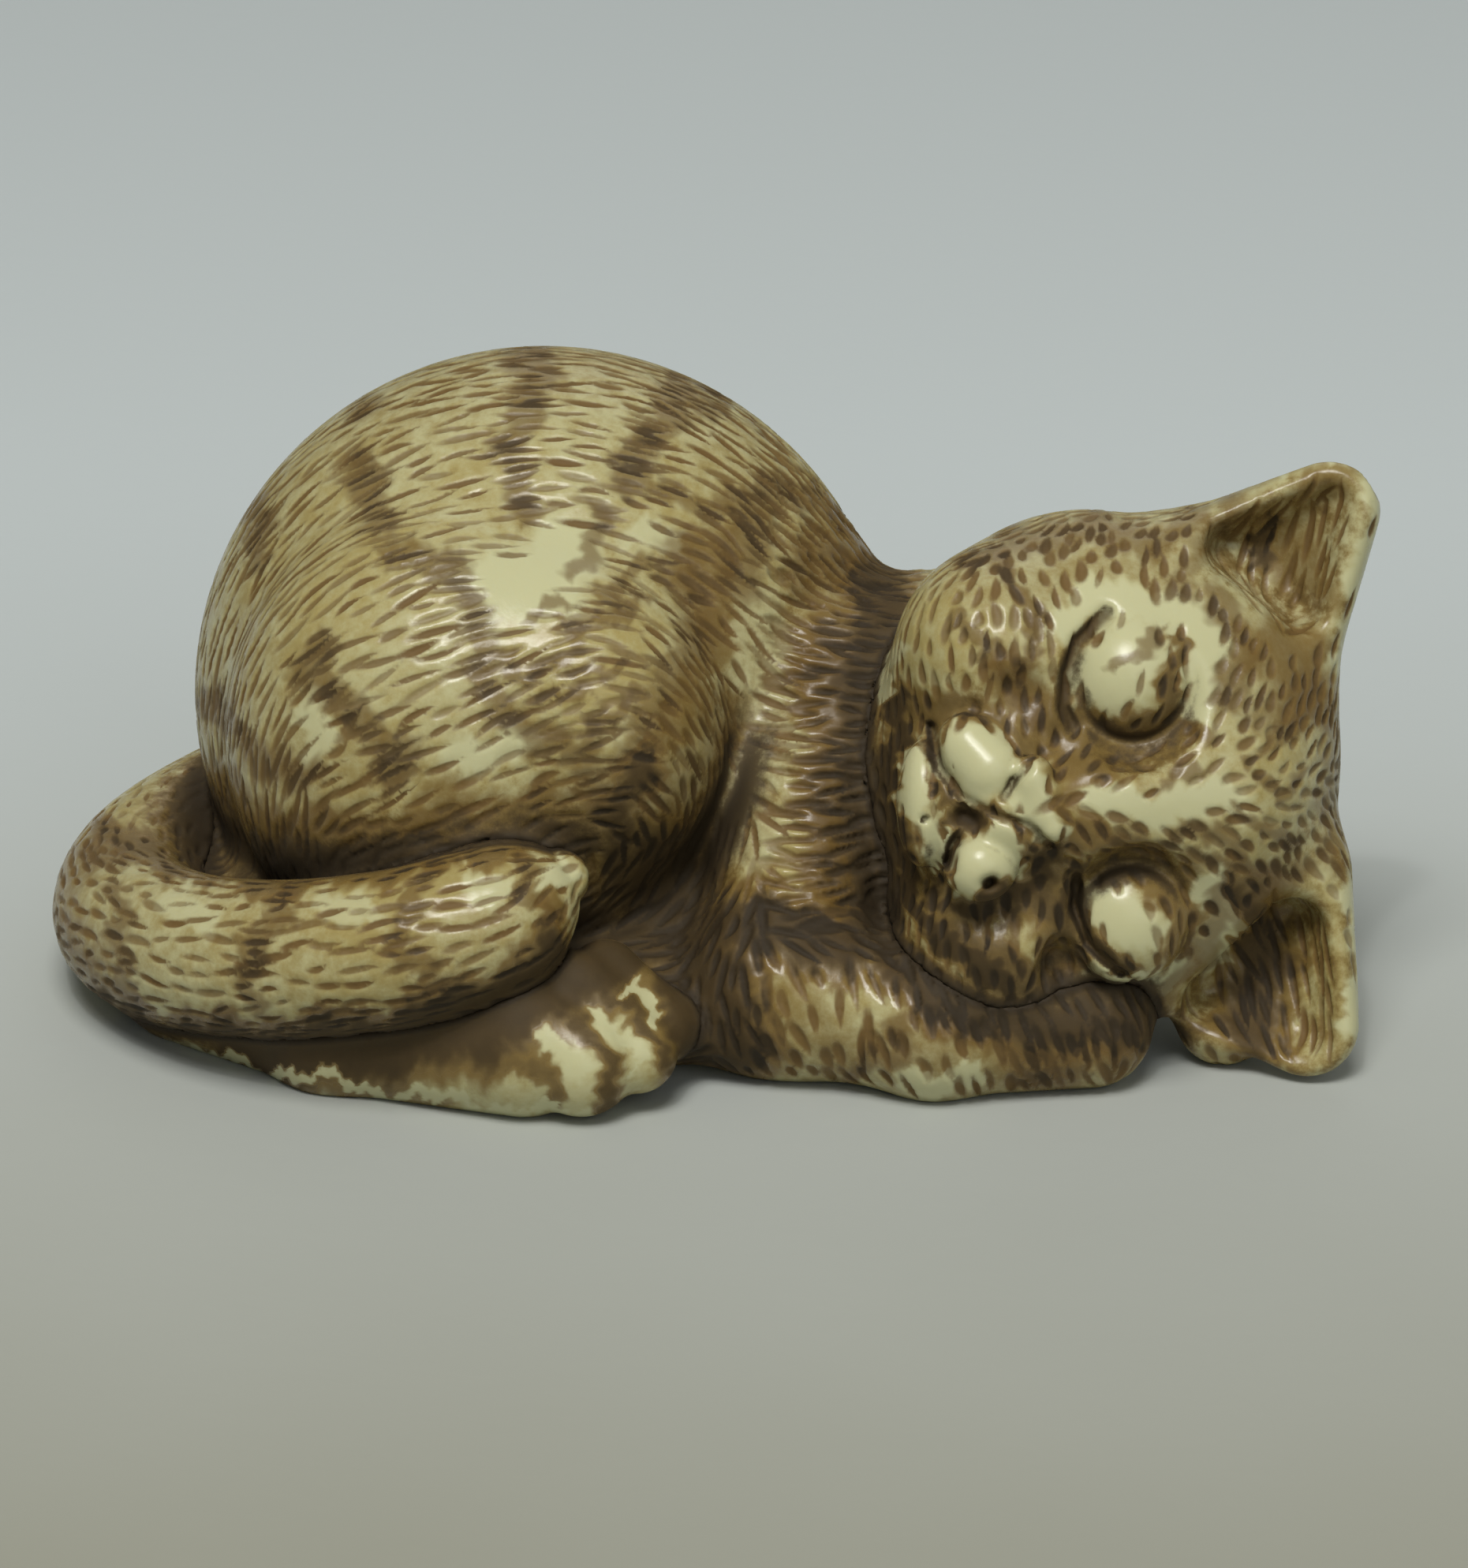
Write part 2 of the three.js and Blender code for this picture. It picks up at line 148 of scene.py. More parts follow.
# Lines engraved in the face: half width, depth, and the places in its plane that a line joins
FACE_LINES = [
    (0.28, 0.34, -0.2, 6.5, -1.2, 5.6, -1.65, 4.5, -1.7, 3.4, -1.4, 2.75),
    (0.2, 0.36, -1.2, -2.5, -1.2, -3.6, -0.75, -4.9, 0.45, -6),
    (0.19, 0.26, -6.15, 2.5, -5.95, 1.4, -5.2, 0.5, -4.1, -0.05, -3, -0.35, -2.2, -1.15),
    (0.4, 0.7, -5.1, -0.2, -4.85, -0.3), (0.18, 0.3, -5.1, -0.5, -5.5, -1.2, -5.6, -1.9),
    (0.19, 0.24, -3, 1.65, -3.45, 1.1, -3.75, 0.6), (0.24, 0.6, -4.3, -2.4, -4.2, -2.35),
    (0.12, 0.3, -6.48, -0.35, -6.42, -0.35),
]
FACE_FRONT = (2.0, 1.5)

# The surface is drawn in closed pieces that meet in the creases. split is how many steps of the
# fine grid there are in one cell of the wide grid.
PIECES = {
    "cat_head": {"parts": ("head",), "marks": "head", "split": 5},
    "cat_tail": {"parts": ("tail",), "marks": "tail", "split": 4},
    "cat_foot": {"parts": ("foot",), "marks": "body", "split": 4},
    "cat_body": {"parts": ("torso", "haunch", "shoulder", "foreleg"), "marks": "body", "split": 4},
}
MOST_TRIANGLES = 195000
REST_PLANE = 0.0
# The space that is searched, the cell of the wide grid, and the blocks that points are worked in
REACH = ((-25, -17.5, -0.6), (24.5, 16.5, 23))
CELL = 0.6
CHUNKS = 60
BLOCK = 3.0
BLOCK_MARGIN = 1.3
KEY_SPAN = 4096
# Cells this near to the surface are worked out finely
NEAR = 1.6
# Distances that stand for being well away from the surface, and from everything
FAR = 9.0
NOWHERE = 99.0

# The photograph's camera, for the marks that are given as places in the photograph
PHOTO = (1861, 1988)
FOCAL_PX = 8400
AIM = (0.5, 0, 7.1)
CAMERA_DISTANCE = 240
CAMERA_UP = 22


# Distances

def lengths(vectors):
    return np.sqrt(np.einsum("ij,ij->i", vectors, vectors))


def soft_min(a, b, blend):
    if not blend:
        return np.minimum(a, b)
    share = np.clip(0.5 + 0.5 * (b - a) / blend, 0, 1)
    return b + (a - b) * share - blend * share * (1 - share)


def soft_max(a, b, blend):
    return -soft_min(-a, -b, blend)


def turned(points, degrees):
    """Points in the axes of a lump that is turned about X, then Y, then Z."""
    x, y, z = (math.radians(angle) for angle in degrees)
    about_x = np.array([[1, 0, 0], [0, math.cos(x), -math.sin(x)], [0, math.sin(x), math.cos(x)]])
    about_y = np.array([[math.cos(y), 0, math.sin(y)], [0, 1, 0], [-math.sin(y), 0, math.cos(y)]])
    about_z = np.array([[math.cos(z), -math.sin(z), 0], [math.sin(z), math.cos(z), 0], [0, 0, 1]])
    return points @ (about_z @ about_y @ about_x)


def ellipsoid(points, lump, side=1):
    centre = np.array(lump["centre"]) * (1, side, 1)
    offset = points - centre
    if lump["turn"]:
        offset = turned(offset, lump["turn"])
    scaled = offset / lump["radii"]
    reach = lengths(scaled)
    return reach * (reach - 1) / np.maximum(lengths(scaled / lump["radii"]), 1e-6)


def segment(points, start, end):
    """Distance to a straight line, and how far along it the nearest place is."""
    start = np.array(start, float)
    axis = np.array(end, float) - start
    offset = points - start
    along = np.clip(offset @ axis / (axis @ axis), 0, 1)
    return lengths(offset - along[:, None] * axis), along


def line_distance(points, line):
    """Distance to the nearest stretch of a line."""
    return np.minimum.reduce([segment(points, *ends)[0] for ends in zip(line[:-1], line[1:])])


def limb(points, lump):
    away, along = segment(points, lump["from"], lump["to"])
    first, last = lump["thick"]
    return away - (first + (last - first) * along)


def cluster(points, lumps, total=None):
    for lump in lumps:
        distance = ellipsoid(points, lump) if "radii" in lump else limb(points, lump)
        total = distance if total is None else soft_min(total, distance, lump["blend"])
    return total


def smooth_route(rows, steps):
    """Even steps along a smooth curve through the rows."""
    rows = np.array(rows, float)
    ends = np.vstack([2 * rows[0] - rows[1], rows, 2 * rows[-1] - rows[-2]])
    stations = []
    for t in np.linspace(0, len(rows) - 1, steps + 1):
        i = min(int(t), len(rows) - 2)
        a, b, c, d = ends[i:i + 4]
        f = t - i
        stations.append(0.5 * (2 * b + (c - a) * f + (2 * a - 5 * b + 4 * c - d) * f ** 2
                               + (3 * b - a - 3 * c + d) * f ** 3))
    return np.array(stations)


TAIL_ROUTE = smooth_route(TAIL, TAIL_STEPS)
TAIL_SLACK = 2.5


def tail(points):
    """Distance to the tail, from the stretches of it that may be the nearest to these points."""
    middle = points.mean(axis=0)
    spread = lengths(points - middle).max()
    away = lengths(TAIL_ROUTE[:-1, :3] - middle) - TAIL_ROUTE[:-1, 3]
    total = np.full(len(points), np.inf)
    for i in np.flatnonzero(away < away.min() + 2 * spread + TAIL_SLACK):
        start, end = TAIL_ROUTE[i:i + 2]
        total = np.minimum(total, limb(points, bone(start[:3], end[:3], (start[3], end[3]))))
    return total


def head_axes():
    across, up = math.sin(math.radians(FACE_TILT)), math.cos(math.radians(FACE_TILT))
    return np.array([[1, 0, 0], [0, across, up], [0, -up, across]])


def to_head(points):
    return (points - HEAD_CENTRE) @ head_axes().T


def to_face(points):
    """Places in the head's axes, from the middle of the face."""
    return to_head(points) - (0, FACE_MIDDLE, 0)


def triangle(flat, root, tip):
    """Distance in the plane of the face to a triangle, negative inside it."""
    corners = np.array([root[0], tip, root[1], root[0]], float)
    edges = np.diff(corners, axis=0)
    side = np.sign(edges[0][0] * edges[1][1] - edges[0][1] * edges[1][0])
    nearest = line_distance(flat, corners)
    inside = np.ones(len(flat), bool)
    for corner, edge in zip(corners, edges):
        offset = flat - corner
        inside &= side * (edge[0] * offset[:, 1] - edge[1] * offset[:, 0]) > 0
    return np.where(inside, -nearest, nearest)


def ear_place(points, ear):
    """How far along the ear a point is, and how far out of its middle."""
    middle = np.mean(ear["root"], axis=0)
    axis = np.array(ear["tip"]) - middle
    along = np.clip((points[:, :2] - middle) @ axis / (axis @ axis), *EAR_RUN)
    return along, points[:, 2] - (ear["depth"][0] * (1 - along) + ear["depth"][1] * along)


def ear_plate(points, ear):
    along, out = ear_place(points, ear)
    face = np.abs(out) - (EAR_THICK[0] * (1 - along) + EAR_THICK[1] * along)
    return soft_max(triangle(points[:, :2], ear["root"], ear["tip"]) - ear["round"], face, EAR_EDGE)


def ear_hollow(points, ear):
    hollow = ear["hollow"]
    bowl = triangle(points[:, :2], hollow["root"], hollow["tip"]) - hollow["round"]
    return soft_max(bowl, HOLLOW_FLOOR - ear_place(points, ear)[1], HOLLOW_EDGE)


def to_hollow(points):
    """Distance to the nearest hollow of an ear."""
    at = to_head(points)
    return np.minimum.reduce([ear_hollow(at, ear) for ear in EARS])


def face_cut(face):
    """How deep the lines of the face are cut at each point."""
    cut = np.zeros(len(face))
    for half, depth, *line in FACE_LINES:
        away = line_distance(face[:, :2], np.reshape(line, (-1, 2))) / half
        cut = np.maximum(cut, depth * np.exp(-away ** 2))
    return cut * np.clip((face[:, 2] - FACE_FRONT[0]) / FACE_FRONT[1], 0, 1)


def head(points):
    at = to_head(points)
    face = at - (0, FACE_MIDDLE, 0)
    total = cluster(at, SKULL)
    for side in (1, -1):
        total = soft_min(total, ellipsoid(face, CHEEK, side), CHEEK["blend"])
    total = soft_min(total, ellipsoid(face, MUZZLE), MUZZLE["blend"])
    total = soft_min(total, limb(face, BRIDGE), BRIDGE["blend"])
    for side in (1, -1):
        total = soft_max(total, -ellipsoid(face, EYE_SOCKET, side), EYE_SOCKET["blend"])
        total = soft_min(total, ellipsoid(face, EYE_LID, side), EYE_LID["blend"])
    for dent in DENTS:
        total = soft_max(total, -ellipsoid(face, dent), DENT_EDGE)
    total = cluster(face, SNOUT, total)
    for ear in EARS:
        total = soft_min(total, ear_plate(at, ear), BLEND["ear"])
    total = soft_min(total, ellipsoid(at, EAR_FOLD), EAR_FOLD["blend"])
    for ear in EARS:
        total = soft_max(total, -ear_hollow(at, ear), BLEND["hollow"])
    return total + face_cut(face)


LUMPS = {"torso": TORSO, "haunch": HAUNCH, "shoulder": SHOULDER, "foreleg": FORELEG,
         "foot": HIND_FOOT}


def part_distance(points, part):
    if part in LUMPS:
        return cluster(points, LUMPS[part])
    return head(points) if part == "head" else tail(points)


def measure(points, parts=PARTS):
    """Distance to the whole cat, and to each of its parts."""
    each = {part: part_distance(points, part) for part in parts}
    total = np.full(len(points), NOWHERE)
    for part in parts:
        total = soft_min(total, each[part], BLEND[part])
    return np.maximum(total, REST_PLANE - points[:, 2]), each


def in_groups(points, work):
    """Runs work(points, parts) on one block of space at a time, with only the parts near it."""
    keys = np.floor((points - REACH[0]) / BLOCK).astype(int)
    flat = (keys[:, 0] * KEY_SPAN + keys[:, 1]) * KEY_SPAN + keys[:, 2]
    order = np.argsort(flat, kind="stable")
    starts = np.flatnonzero(np.diff(flat[order], prepend=-1))
    total, each = measure((keys[order[starts]] + 0.5) * BLOCK + REACH[0])
    span = BLOCK * math.sqrt(3) * BLOCK_MARGIN + max(BLEND.values())
    result = np.empty((len(points), 3))
    for n, (start, end) in enumerate(zip(starts, [*starts[1:], len(points)])):
        chosen = order[start:end]
        parts = [part for part in PARTS if each[part][n] < max(total[n], 0) + span]
        result[chosen] = work(points[chosen], parts or PARTS)
    return result


# Meshing

CORNERS = [(i, j, k) for i in (0, 1) for j in (0, 1) for k in (0, 1)]


def wide_grid():
    """Distances on a wide grid, to the whole cat and to each part."""
    counts = np.ceil(np.subtract(REACH[1], REACH[0]) / CELL).astype(int) + 1
    corners = REACH[0] + np.argwhere(np.ones(counts, bool)) * CELL
    found = [measure(some) for some in np.array_split(corners, CHUNKS)]
    total = np.concatenate([one[0] for one in found]).reshape(counts)
    return total, {part: np.concatenate([one[1][part] for one in found]).reshape(counts) for part in PARTS}


def read_grid(grid, points):
    """Values between the corners of the wide grid."""
    at = (points - REACH[0]) / CELL
    base = np.clip(np.floor(at).astype(int), 0, np.array(grid.shape) - 2)
    share = at - base
    total = np.zeros(len(points))
    for corner in CORNERS:
        weight = np.prod(np.where(corner, share, 1 - share), axis=1)
        total += weight * grid[tuple((base + corner).T)]
    return total


def apart(each, own):
    """Negative where a piece's own parts are nearer than the others."""
    mine = [each[part] for part in each if part in own]
    others = [each[part] for part in each if part not in own]
    nearest = np.minimum.reduce(mine) if mine else FAR
    return (nearest - (np.minimum.reduce(others) if others else FAR)) / 2


def piece_work(own):
    """The cat's distance inside a piece's region, the distance without that limit, and the limit."""
    def work(points, parts):
        total, each = measure(points, parts)
        limit = apart(each, own)
        return np.stack([np.maximum(total, limit), total, limit], axis=1)
    return work


def lattice(plan, work, wide):
    """Distances on a fine grid, worked out only near the surface."""
    total, each = wide
    values = np.maximum(total, apart(each, plan["parts"]))
    cells = np.array(values.shape) - 1
    near = np.zeros(cells, bool)
    sums = np.zeros(cells)
    for i, j, k in CORNERS:
        block = values[i:i + cells[0], j:j + cells[1], k:k + cells[2]]
        near |= np.abs(block) < NEAR * CELL
        sums += block
    places = np.argwhere(near)
    first = places.min(axis=0)
    box = tuple(slice(*ends) for ends in zip(first, places.max(axis=0) + 1))
    fine = (plan["split"],) * 3
    values = np.where(np.kron(sums[box], np.ones(fine)) < 0, -FAR, FAR)
    values = np.pad(values, ((0, 1),) * 3, mode="edge")
    wanted = np.pad(np.kron(near[box], np.ones(fine, bool)), ((0, 1),) * 3)
    for axis in range(3):
        wanted |= np.roll(wanted, 1, axis=axis)
    low = REACH[0] + first * CELL
    values[wanted] = in_groups(low + np.argwhere(wanted) * CELL / plan["split"], work)[:, 0]
    return values, low


# Rounds of parting, and the distance that a parted corner is given
PINCH_ROUNDS = 4
PARTED = 0.001
FACE_CORNERS = ((0, 0), (1, 0), (0, 1), (1, 1))


def face_corner(values, one, two, place):
    """A view of one corner of every face that spans two axes of the grid."""
    cut = [slice(None)] * 3
    for axis, i in zip((one, two), place):
        cut[axis] = slice(i, values.shape[axis] - 1 + i)
    return values[tuple(cut)]


def part_pinches(values):
    """Parts corners that touch only across a face's diagonal, where the surface would be pinched."""
    for one, two in ((0, 1), (1, 2), (2, 0)) * PINCH_ROUNDS:
        near, right, up, far = (face_corner(values, one, two, place) for place in FACE_CORNERS)
        for a, b, c, d in ((near, far, right, up), (right, up, near, far)):
            touching = (a < 0) & (b < 0) & (c >= 0) & (d >= 0)
            first = touching & (a > b)
            a[first] = PARTED
            b[touching & ~first] = PARTED


def largest_shell(points, quads):
    """The largest closed shell, without the crumbs that a cut may leave."""
    shell = np.arange(len(points))
    while True:
        lowest = shell[quads].min(axis=1)
        lower = shell.copy()
        for corner in quads.T:
            np.minimum.at(lower, corner, lowest)
        lower = lower[lower]
        if (lower == shell).all():
            break
        shell = lower
    kept = shell == np.bincount(shell).argmax()
    return points[kept], (np.cumsum(kept) - 1)[quads[kept[quads[:, 0]]]]


def surface_net(values, low, step):
    """One vertex in each cell that the surface crosses, and a quad round each crossed edge."""
    inside = values < 0
    shape = np.array(values.shape)
    cells, places, flips = [], [], []
    for axis in range(3):
        crossed = np.argwhere(np.diff(inside, axis=axis))
        step_on, u, w = np.roll(np.eye(3, dtype=int), -axis, axis=0)
        first = values[tuple(crossed.T)]
        share = first / (first - values[tuple((crossed + step_on).T)])
        place = crossed.astype(float)
        place[:, axis] += share
        ring = np.stack([crossed, crossed - u, crossed - u - w, crossed - w], axis=1)
        cells.append(ring)
        places.append(place)
        flips.append(first >= 0)
    cells = np.concatenate(cells)
    places = np.repeat(np.concatenate(places), 4, axis=0)
    flat = (cells[..., 0] * shape[1] + cells[..., 1]) * shape[2] + cells[..., 2]
    _, corner = np.unique(flat.ravel(), return_inverse=True)
    count = np.bincount(corner)
    points = np.stack([np.bincount(corner, places[:, i]) / count for i in range(3)], axis=1)
    quads = corner.reshape(-1, 4)
    flips = np.concatenate(flips)
    quads[flips] = quads[flips][:, ::-1]
    return low + points * step, quads


# Directions and reach of the probes that find a slope, the least that it is taken to be, and how
# far a point may move to settle
PROBES = np.array([[1, -1, -1], [-1, -1, 1], [-1, 1, -1], [1, 1, 1]])
PROBE_STEP = 0.04
LEAST_SLOPE = 0.3
SETTLE_MOST = 0.06


def settle(points, work):
    """Points moved onto the surface, the way out of it there, and how far they are from the cat's
    skin and from the limit of the piece."""
    found = [in_groups(points + probe * PROBE_STEP, work) for probe in PROBES]
    slope = sum(values[:, :1] * probe for values, probe in zip(found, PROBES)) / (4 * PROBE_STEP)
    steep = np.maximum(lengths(slope), LEAST_SLOPE)[:, None]
    own, total, limit = np.mean(found, axis=0).T
    move = np.clip(own[:, None] / steep, -SETTLE_MOST, SETTLE_MOST)
    outward = slope / steep
    return points - outward * move, outward, total, limit


# Marks
# Places in the photograph: half width in pixels, strength, and the places that the mark joins.
# Ink is where the fur is cut closely and stained dark. Stain is a smooth wash, amber up to a
# strength of 1 and umber above it: the resin's stain, and painted shade in the creases beside and
# under the head, in the nooks of the foot and under the tail. Bare is polished and uncut, and on
# the top of the haunch, the top of the tail and the ridges of the neck it is also a painted highlight.
INK_BODY = [
    (24, 1, 690, 430, 685, 480, 662, 520, 650, 560), (20, 0.9, 662, 600, 658, 650),
    (24, 1, 855, 500, 840, 540, 800, 590, 812, 612), (16, 0.8, 812, 612, 870, 640, 930, 640),
    (16, 0.8, 845, 512, 920, 505), (18, 0.9, 910, 635, 960, 628, 1030, 625, 1065, 650),
    (24, 1, 472, 590, 465, 620, 470, 655), (18, 0.9, 500, 690, 530, 710, 580, 725),
    (20, 0.9, 590, 725, 600, 780, 615, 830, 635, 895, 680, 945, 735, 955, 765, 1000),
    (18, 0.9, 318, 640, 330, 700), (24, 1, 395, 830, 415, 875, 445, 905, 480, 935, 510, 975),
    (20, 0.9, 265, 890, 290, 930, 340, 965, 395, 985), (14, 0.9, 755, 645, 750, 710, 735, 720),
    (14, 0.9, 820, 720, 772, 750, 792, 775), (9, 0.9, 710, 795, 770, 775, 815, 765),
    (9, 0.9, 668, 785, 712, 768), (12, 0.9, 642, 835, 680, 862, 720, 840, 726, 808),
    (9, 0.9, 738, 852, 790, 840), (9, 0.9, 690, 895, 752, 870), (11, 0.9, 815, 880, 760, 910, 735, 935),
    (26, 0.8, 860, 700, 880, 790, 850, 880, 790, 950), (30, 1, 945, 670, 950, 735),
    (22, 0.9, 1020, 700, 1025, 745), (46, 1, 1042, 830, 1064, 930, 1060, 1040, 1075, 1110, 1120, 1150),
    (40, 0.7, 920, 900, 880, 1000, 860, 1080), (34, 0.7, 1060, 700, 1110, 760),
    (40, 0.6, 900, 1160, 930, 1220, 910, 1310), (30, 0.5, 270, 980, 330, 1040, 440, 1050, 540, 1060),
    (34, 1, 1040, 1170, 1110, 1190, 1150, 1230, 1200, 1275, 1260, 1300),
    (17, 1, 1085, 1358, 1125, 1342, 1150, 1305), (26, 1, 1285, 1345, 1330, 1355, 1380, 1335, 1430, 1310),
    (30, 0.8, 900, 1240, 920, 1300, 960, 1330),
]
INK_HEAD = [
    (13, 1, 1225, 708, 1270, 712, 1297, 740, 1308, 790, 1300, 840),
    (11, 1, 1205, 782, 1245, 825, 1280, 860, 1315, 905), (10, 0.9, 1465, 790, 1440, 830, 1420, 845),
    (24, 0.8, 1280, 678, 1360, 672, 1440, 682, 1510, 665), (20, 0.7, 1505, 750, 1525, 690, 1560, 640),
    (22, 0.9, 1540, 765, 1570, 810, 1580, 840, 1560, 890),
    (26, 0.7, 1600, 900, 1660, 880, 1690, 930, 1700, 1010, 1685, 1090),
    (12, 0.9, 1585, 955, 1620, 925, 1665, 895), (10, 0.9, 1605, 985, 1632, 1003, 1650, 985),
    (12, 0.9, 1500, 930, 1522, 938), (10, 0.9, 1480, 990, 1520, 978),
    (13, 0.9, 1395, 1060, 1455, 1068, 1510, 1057, 1550, 1068, 1590, 1095, 1640, 1110),
    (11, 0.9, 1580, 1025, 1605, 1055, 1640, 1070), (12, 0.8, 1510, 1090, 1545, 1100),
    (16, 0.9, 1560, 1135, 1540, 1190, 1500, 1235, 1445, 1262),
    (14, 0.8, 1320, 1195, 1350, 1235, 1390, 1258), (10, 0.6, 1230, 1175, 1280, 1165),
    (24, 0.8, 1640, 1110, 1600, 1145, 1575, 1160),
]
INK_TAIL = [
    (13, 1, 150, 1130, 165, 1160, 146, 1185, 146, 1230, 170, 1265, 200, 1295),
    (15, 1, 372, 1128, 360, 1155, 330, 1175, 310, 1210, 306, 1240, 335, 1270),
    (15, 1, 542, 1110, 530, 1150, 502, 1175, 502, 1210, 525, 1225, 550, 1250),
    (11, 1, 660, 1085, 665, 1120, 680, 1140, 697, 1162, 705, 1180),
    (14, 0.7, 180, 1290, 300, 1303, 450, 1293, 560, 1270), (14, 0.7, 82, 1160, 98, 1240, 130, 1280),
    (14, 0.8, 110, 1080, 120, 1100, 150, 1085),
]
# Stain that is also painted shade in the creases beside and under the head, in the nooks of the foot and
# under the tail
STAIN_AND_SHADE_BODY = [
    (34, 0.9, 895, 690, 912, 815), (20, 0.8, 912, 815, 880, 890, 825, 960),
    (30, 1.7, 815, 985, 775, 1040, 785, 1110),
    (34, 1.1, 270, 1010, 350, 1055, 470, 1070, 600, 1050, 700, 1030),
    (30, 0.7, 560, 1010, 660, 1030, 720, 1010), (46, 1.3, 1056, 800, 1064, 950, 1064, 1090),
    (110, 0.35, 440, 500, 660, 440, 860, 470, 980, 600),
    (80, 0.35, 330, 600, 270, 760, 300, 900, 420, 980),
    (46, 1.8, 1125, 740, 1098, 850, 1095, 950, 1100, 1040, 1115, 1120, 1160, 1190),
    (42, 2, 1160, 1190, 1230, 1250, 1310, 1290, 1400, 1300, 1470, 1285, 1540, 1260),
    (44, 1.9, 910, 1165, 1000, 1185, 1090, 1195, 1150, 1220, 1260, 1290),
    (66, 2, 840, 1110, 860, 1190, 900, 1260, 920, 1320), (60, 0.7, 1060, 680, 1110, 760),
    (60, 0.6, 1150, 1340, 1300, 1360, 1420, 1340), (50, 0.6, 1000, 1250, 1070, 1340),
    (52, 2, 300, 1340, 420, 1335, 600, 1305, 680, 1270, 750, 1225, 800, 1195),
    (30, 1.8, 850, 1240, 872, 1300, 868, 1370), (14, 1.6, 735, 1290, 762, 1328, 772, 1370, 768, 1402),
    (12, 1.6, 775, 1250, 803, 1275, 832, 1320, 836, 1352),
    (13, 1.3, 575, 1345, 668, 1350, 695, 1375, 702, 1402), (15, 0.8, 240, 1350, 400, 1380, 560, 1400),
]
STAIN_AND_SHADE_HEAD = [
    (18, 2, 1140, 890, 1122, 980, 1130, 1070, 1160, 1140, 1215, 1215, 1290, 1270, 1370, 1290),
    (36, 1.2, 1290, 868, 1320, 905, 1365, 950, 1385, 980),
    (22, 1.3, 1150, 905, 1180, 888, 1215, 905, 1260, 925, 1300, 950),
    (19, 1.4, 1482, 812, 1494, 850, 1484, 895, 1445, 920, 1400, 922, 1368, 910),
    (12, 1.3, 1385, 805, 1366, 845, 1352, 885, 1362, 920), (26, 0.9, 1395, 940, 1440, 960),
    (22, 1.1, 1350, 1045, 1400, 1085, 1440, 1098, 1490, 1115, 1508, 1160, 1480, 1205),
    (13, 1.7, 1358, 1100, 1366, 1160, 1395, 1215, 1430, 1240),
    (34, 1.5, 1300, 1080, 1325, 1130, 1352, 1165), (26, 0.9, 1320, 1260, 1400, 1275, 1480, 1262),
    (22, 1.8, 1190, 1075, 1200, 1130, 1245, 1160, 1306, 1122, 1330, 1070),
    (26, 1.4, 1190, 1170, 1240, 1210, 1310, 1245),
    (9, 1.4, 1177, 935, 1186, 985, 1215, 1018, 1250, 1036, 1290, 1045),
    (13, 1.7, 1205, 1040, 1250, 1052, 1292, 1066), (18, 0.9, 1350, 1010, 1340, 1040),
    (40, 0.9, 1610, 810, 1660, 850, 1660, 900), (40, 0.8, 1590, 655, 1640, 700, 1668, 745),
    (24, 0.8, 1640, 640, 1698, 612), (18, 1.7, 1598, 666, 1604, 706),
    (48, 1.7, 1580, 1150, 1600, 1230, 1590, 1300), (60, 0.45, 1250, 730, 1350, 710, 1480, 705),
]
STAIN_AND_SHADE_TAIL = [
    (20, 1.3, 125, 1062, 200, 1078, 250, 1102, 360, 1118, 500, 1095, 650, 1068),
    (16, 1, 710, 1130, 700, 1190, 660, 1235),
    (34, 1.9, 110, 1285, 200, 1318, 320, 1332, 450, 1325, 560, 1295, 650, 1252, 700, 1215),
    (50, 0.7, 90, 1080, 65, 1160, 95, 1240), (90, 0.3, 150, 1180, 300, 1190, 480, 1190, 640, 1150),
]
# Bare places: the eyes, pads, lids and ear rims are polished and uncut; the patches on the top of the
# haunch, the top of the tail and the neck ridges are also painted highlights
POLISH_AND_HIGHLIGHT_BODY = [
    (50, 1, 632, 738, 688, 742, 718, 706), (22, 0.9, 650, 940, 580, 960), (20, 0.8, 395, 900, 400, 950),
    (16, 0.8, 800, 680, 850, 690), (34, 0.5, 955, 780, 968, 900, 958, 1000, 950, 1070),
    (16, 0.9, 1150, 1372, 1230, 1365), (19, 0.9, 698, 1332, 724, 1350),
    (10, 0.9, 762, 1282, 800, 1320, 804, 1352), (7, 0.8, 800, 1252, 828, 1274, 840, 1300),
    (7, 0.9, 240, 1340, 500, 1386, 700, 1414, 790, 1416),
]
POLISH_AND_HIGHLIGHT_HEAD = [
    (36, 1, 1215, 950, 1262, 985), (26, 1, 1305, 985, 1322, 1040), (34, 1, 1232, 1104, 1262, 1084),
    (23, 1, 1345, 785, 1400, 762, 1475, 764, 1520, 796, 1534, 850, 1522, 900),
    (48, 1, 1405, 862, 1432, 826), (36, 1, 1410, 1160, 1440, 1170),
    (18, 1, 1535, 1125, 1560, 1165, 1530, 1215), (22, 1, 1400, 1020, 1480, 1022, 1570, 1015),
    (18, 1, 1160, 960, 1165, 1020, 1185, 1075), (14, 1, 1130, 830, 1122, 880),
    (18, 1, 1480, 1235, 1420, 1255, 1370, 1250), (20, 1, 1750, 600, 1746, 680, 1728, 760, 1705, 830),
    (10, 1, 1600, 590, 1680, 575, 1740, 580), (16, 1, 1722, 1130, 1728, 1220, 1722, 1300),
]
POLISH_AND_HIGHLIGHT_TAIL = [
    (16, 0.8, 600, 1115, 640, 1130), (18, 1, 715, 1110, 700, 1120), (20, 0.7, 230, 1140, 260, 1170),
    (18, 0.7, 420, 1160, 470, 1150),
]
MARKS = {
    "body": (INK_BODY, STAIN_AND_SHADE_BODY, POLISH_AND_HIGHLIGHT_BODY),
    "head": (INK_HEAD, STAIN_AND_SHADE_HEAD, POLISH_AND_HIGHLIGHT_HEAD),
    "tail": (INK_TAIL, STAIN_AND_SHADE_TAIL, POLISH_AND_HIGHLIGHT_TAIL),
}
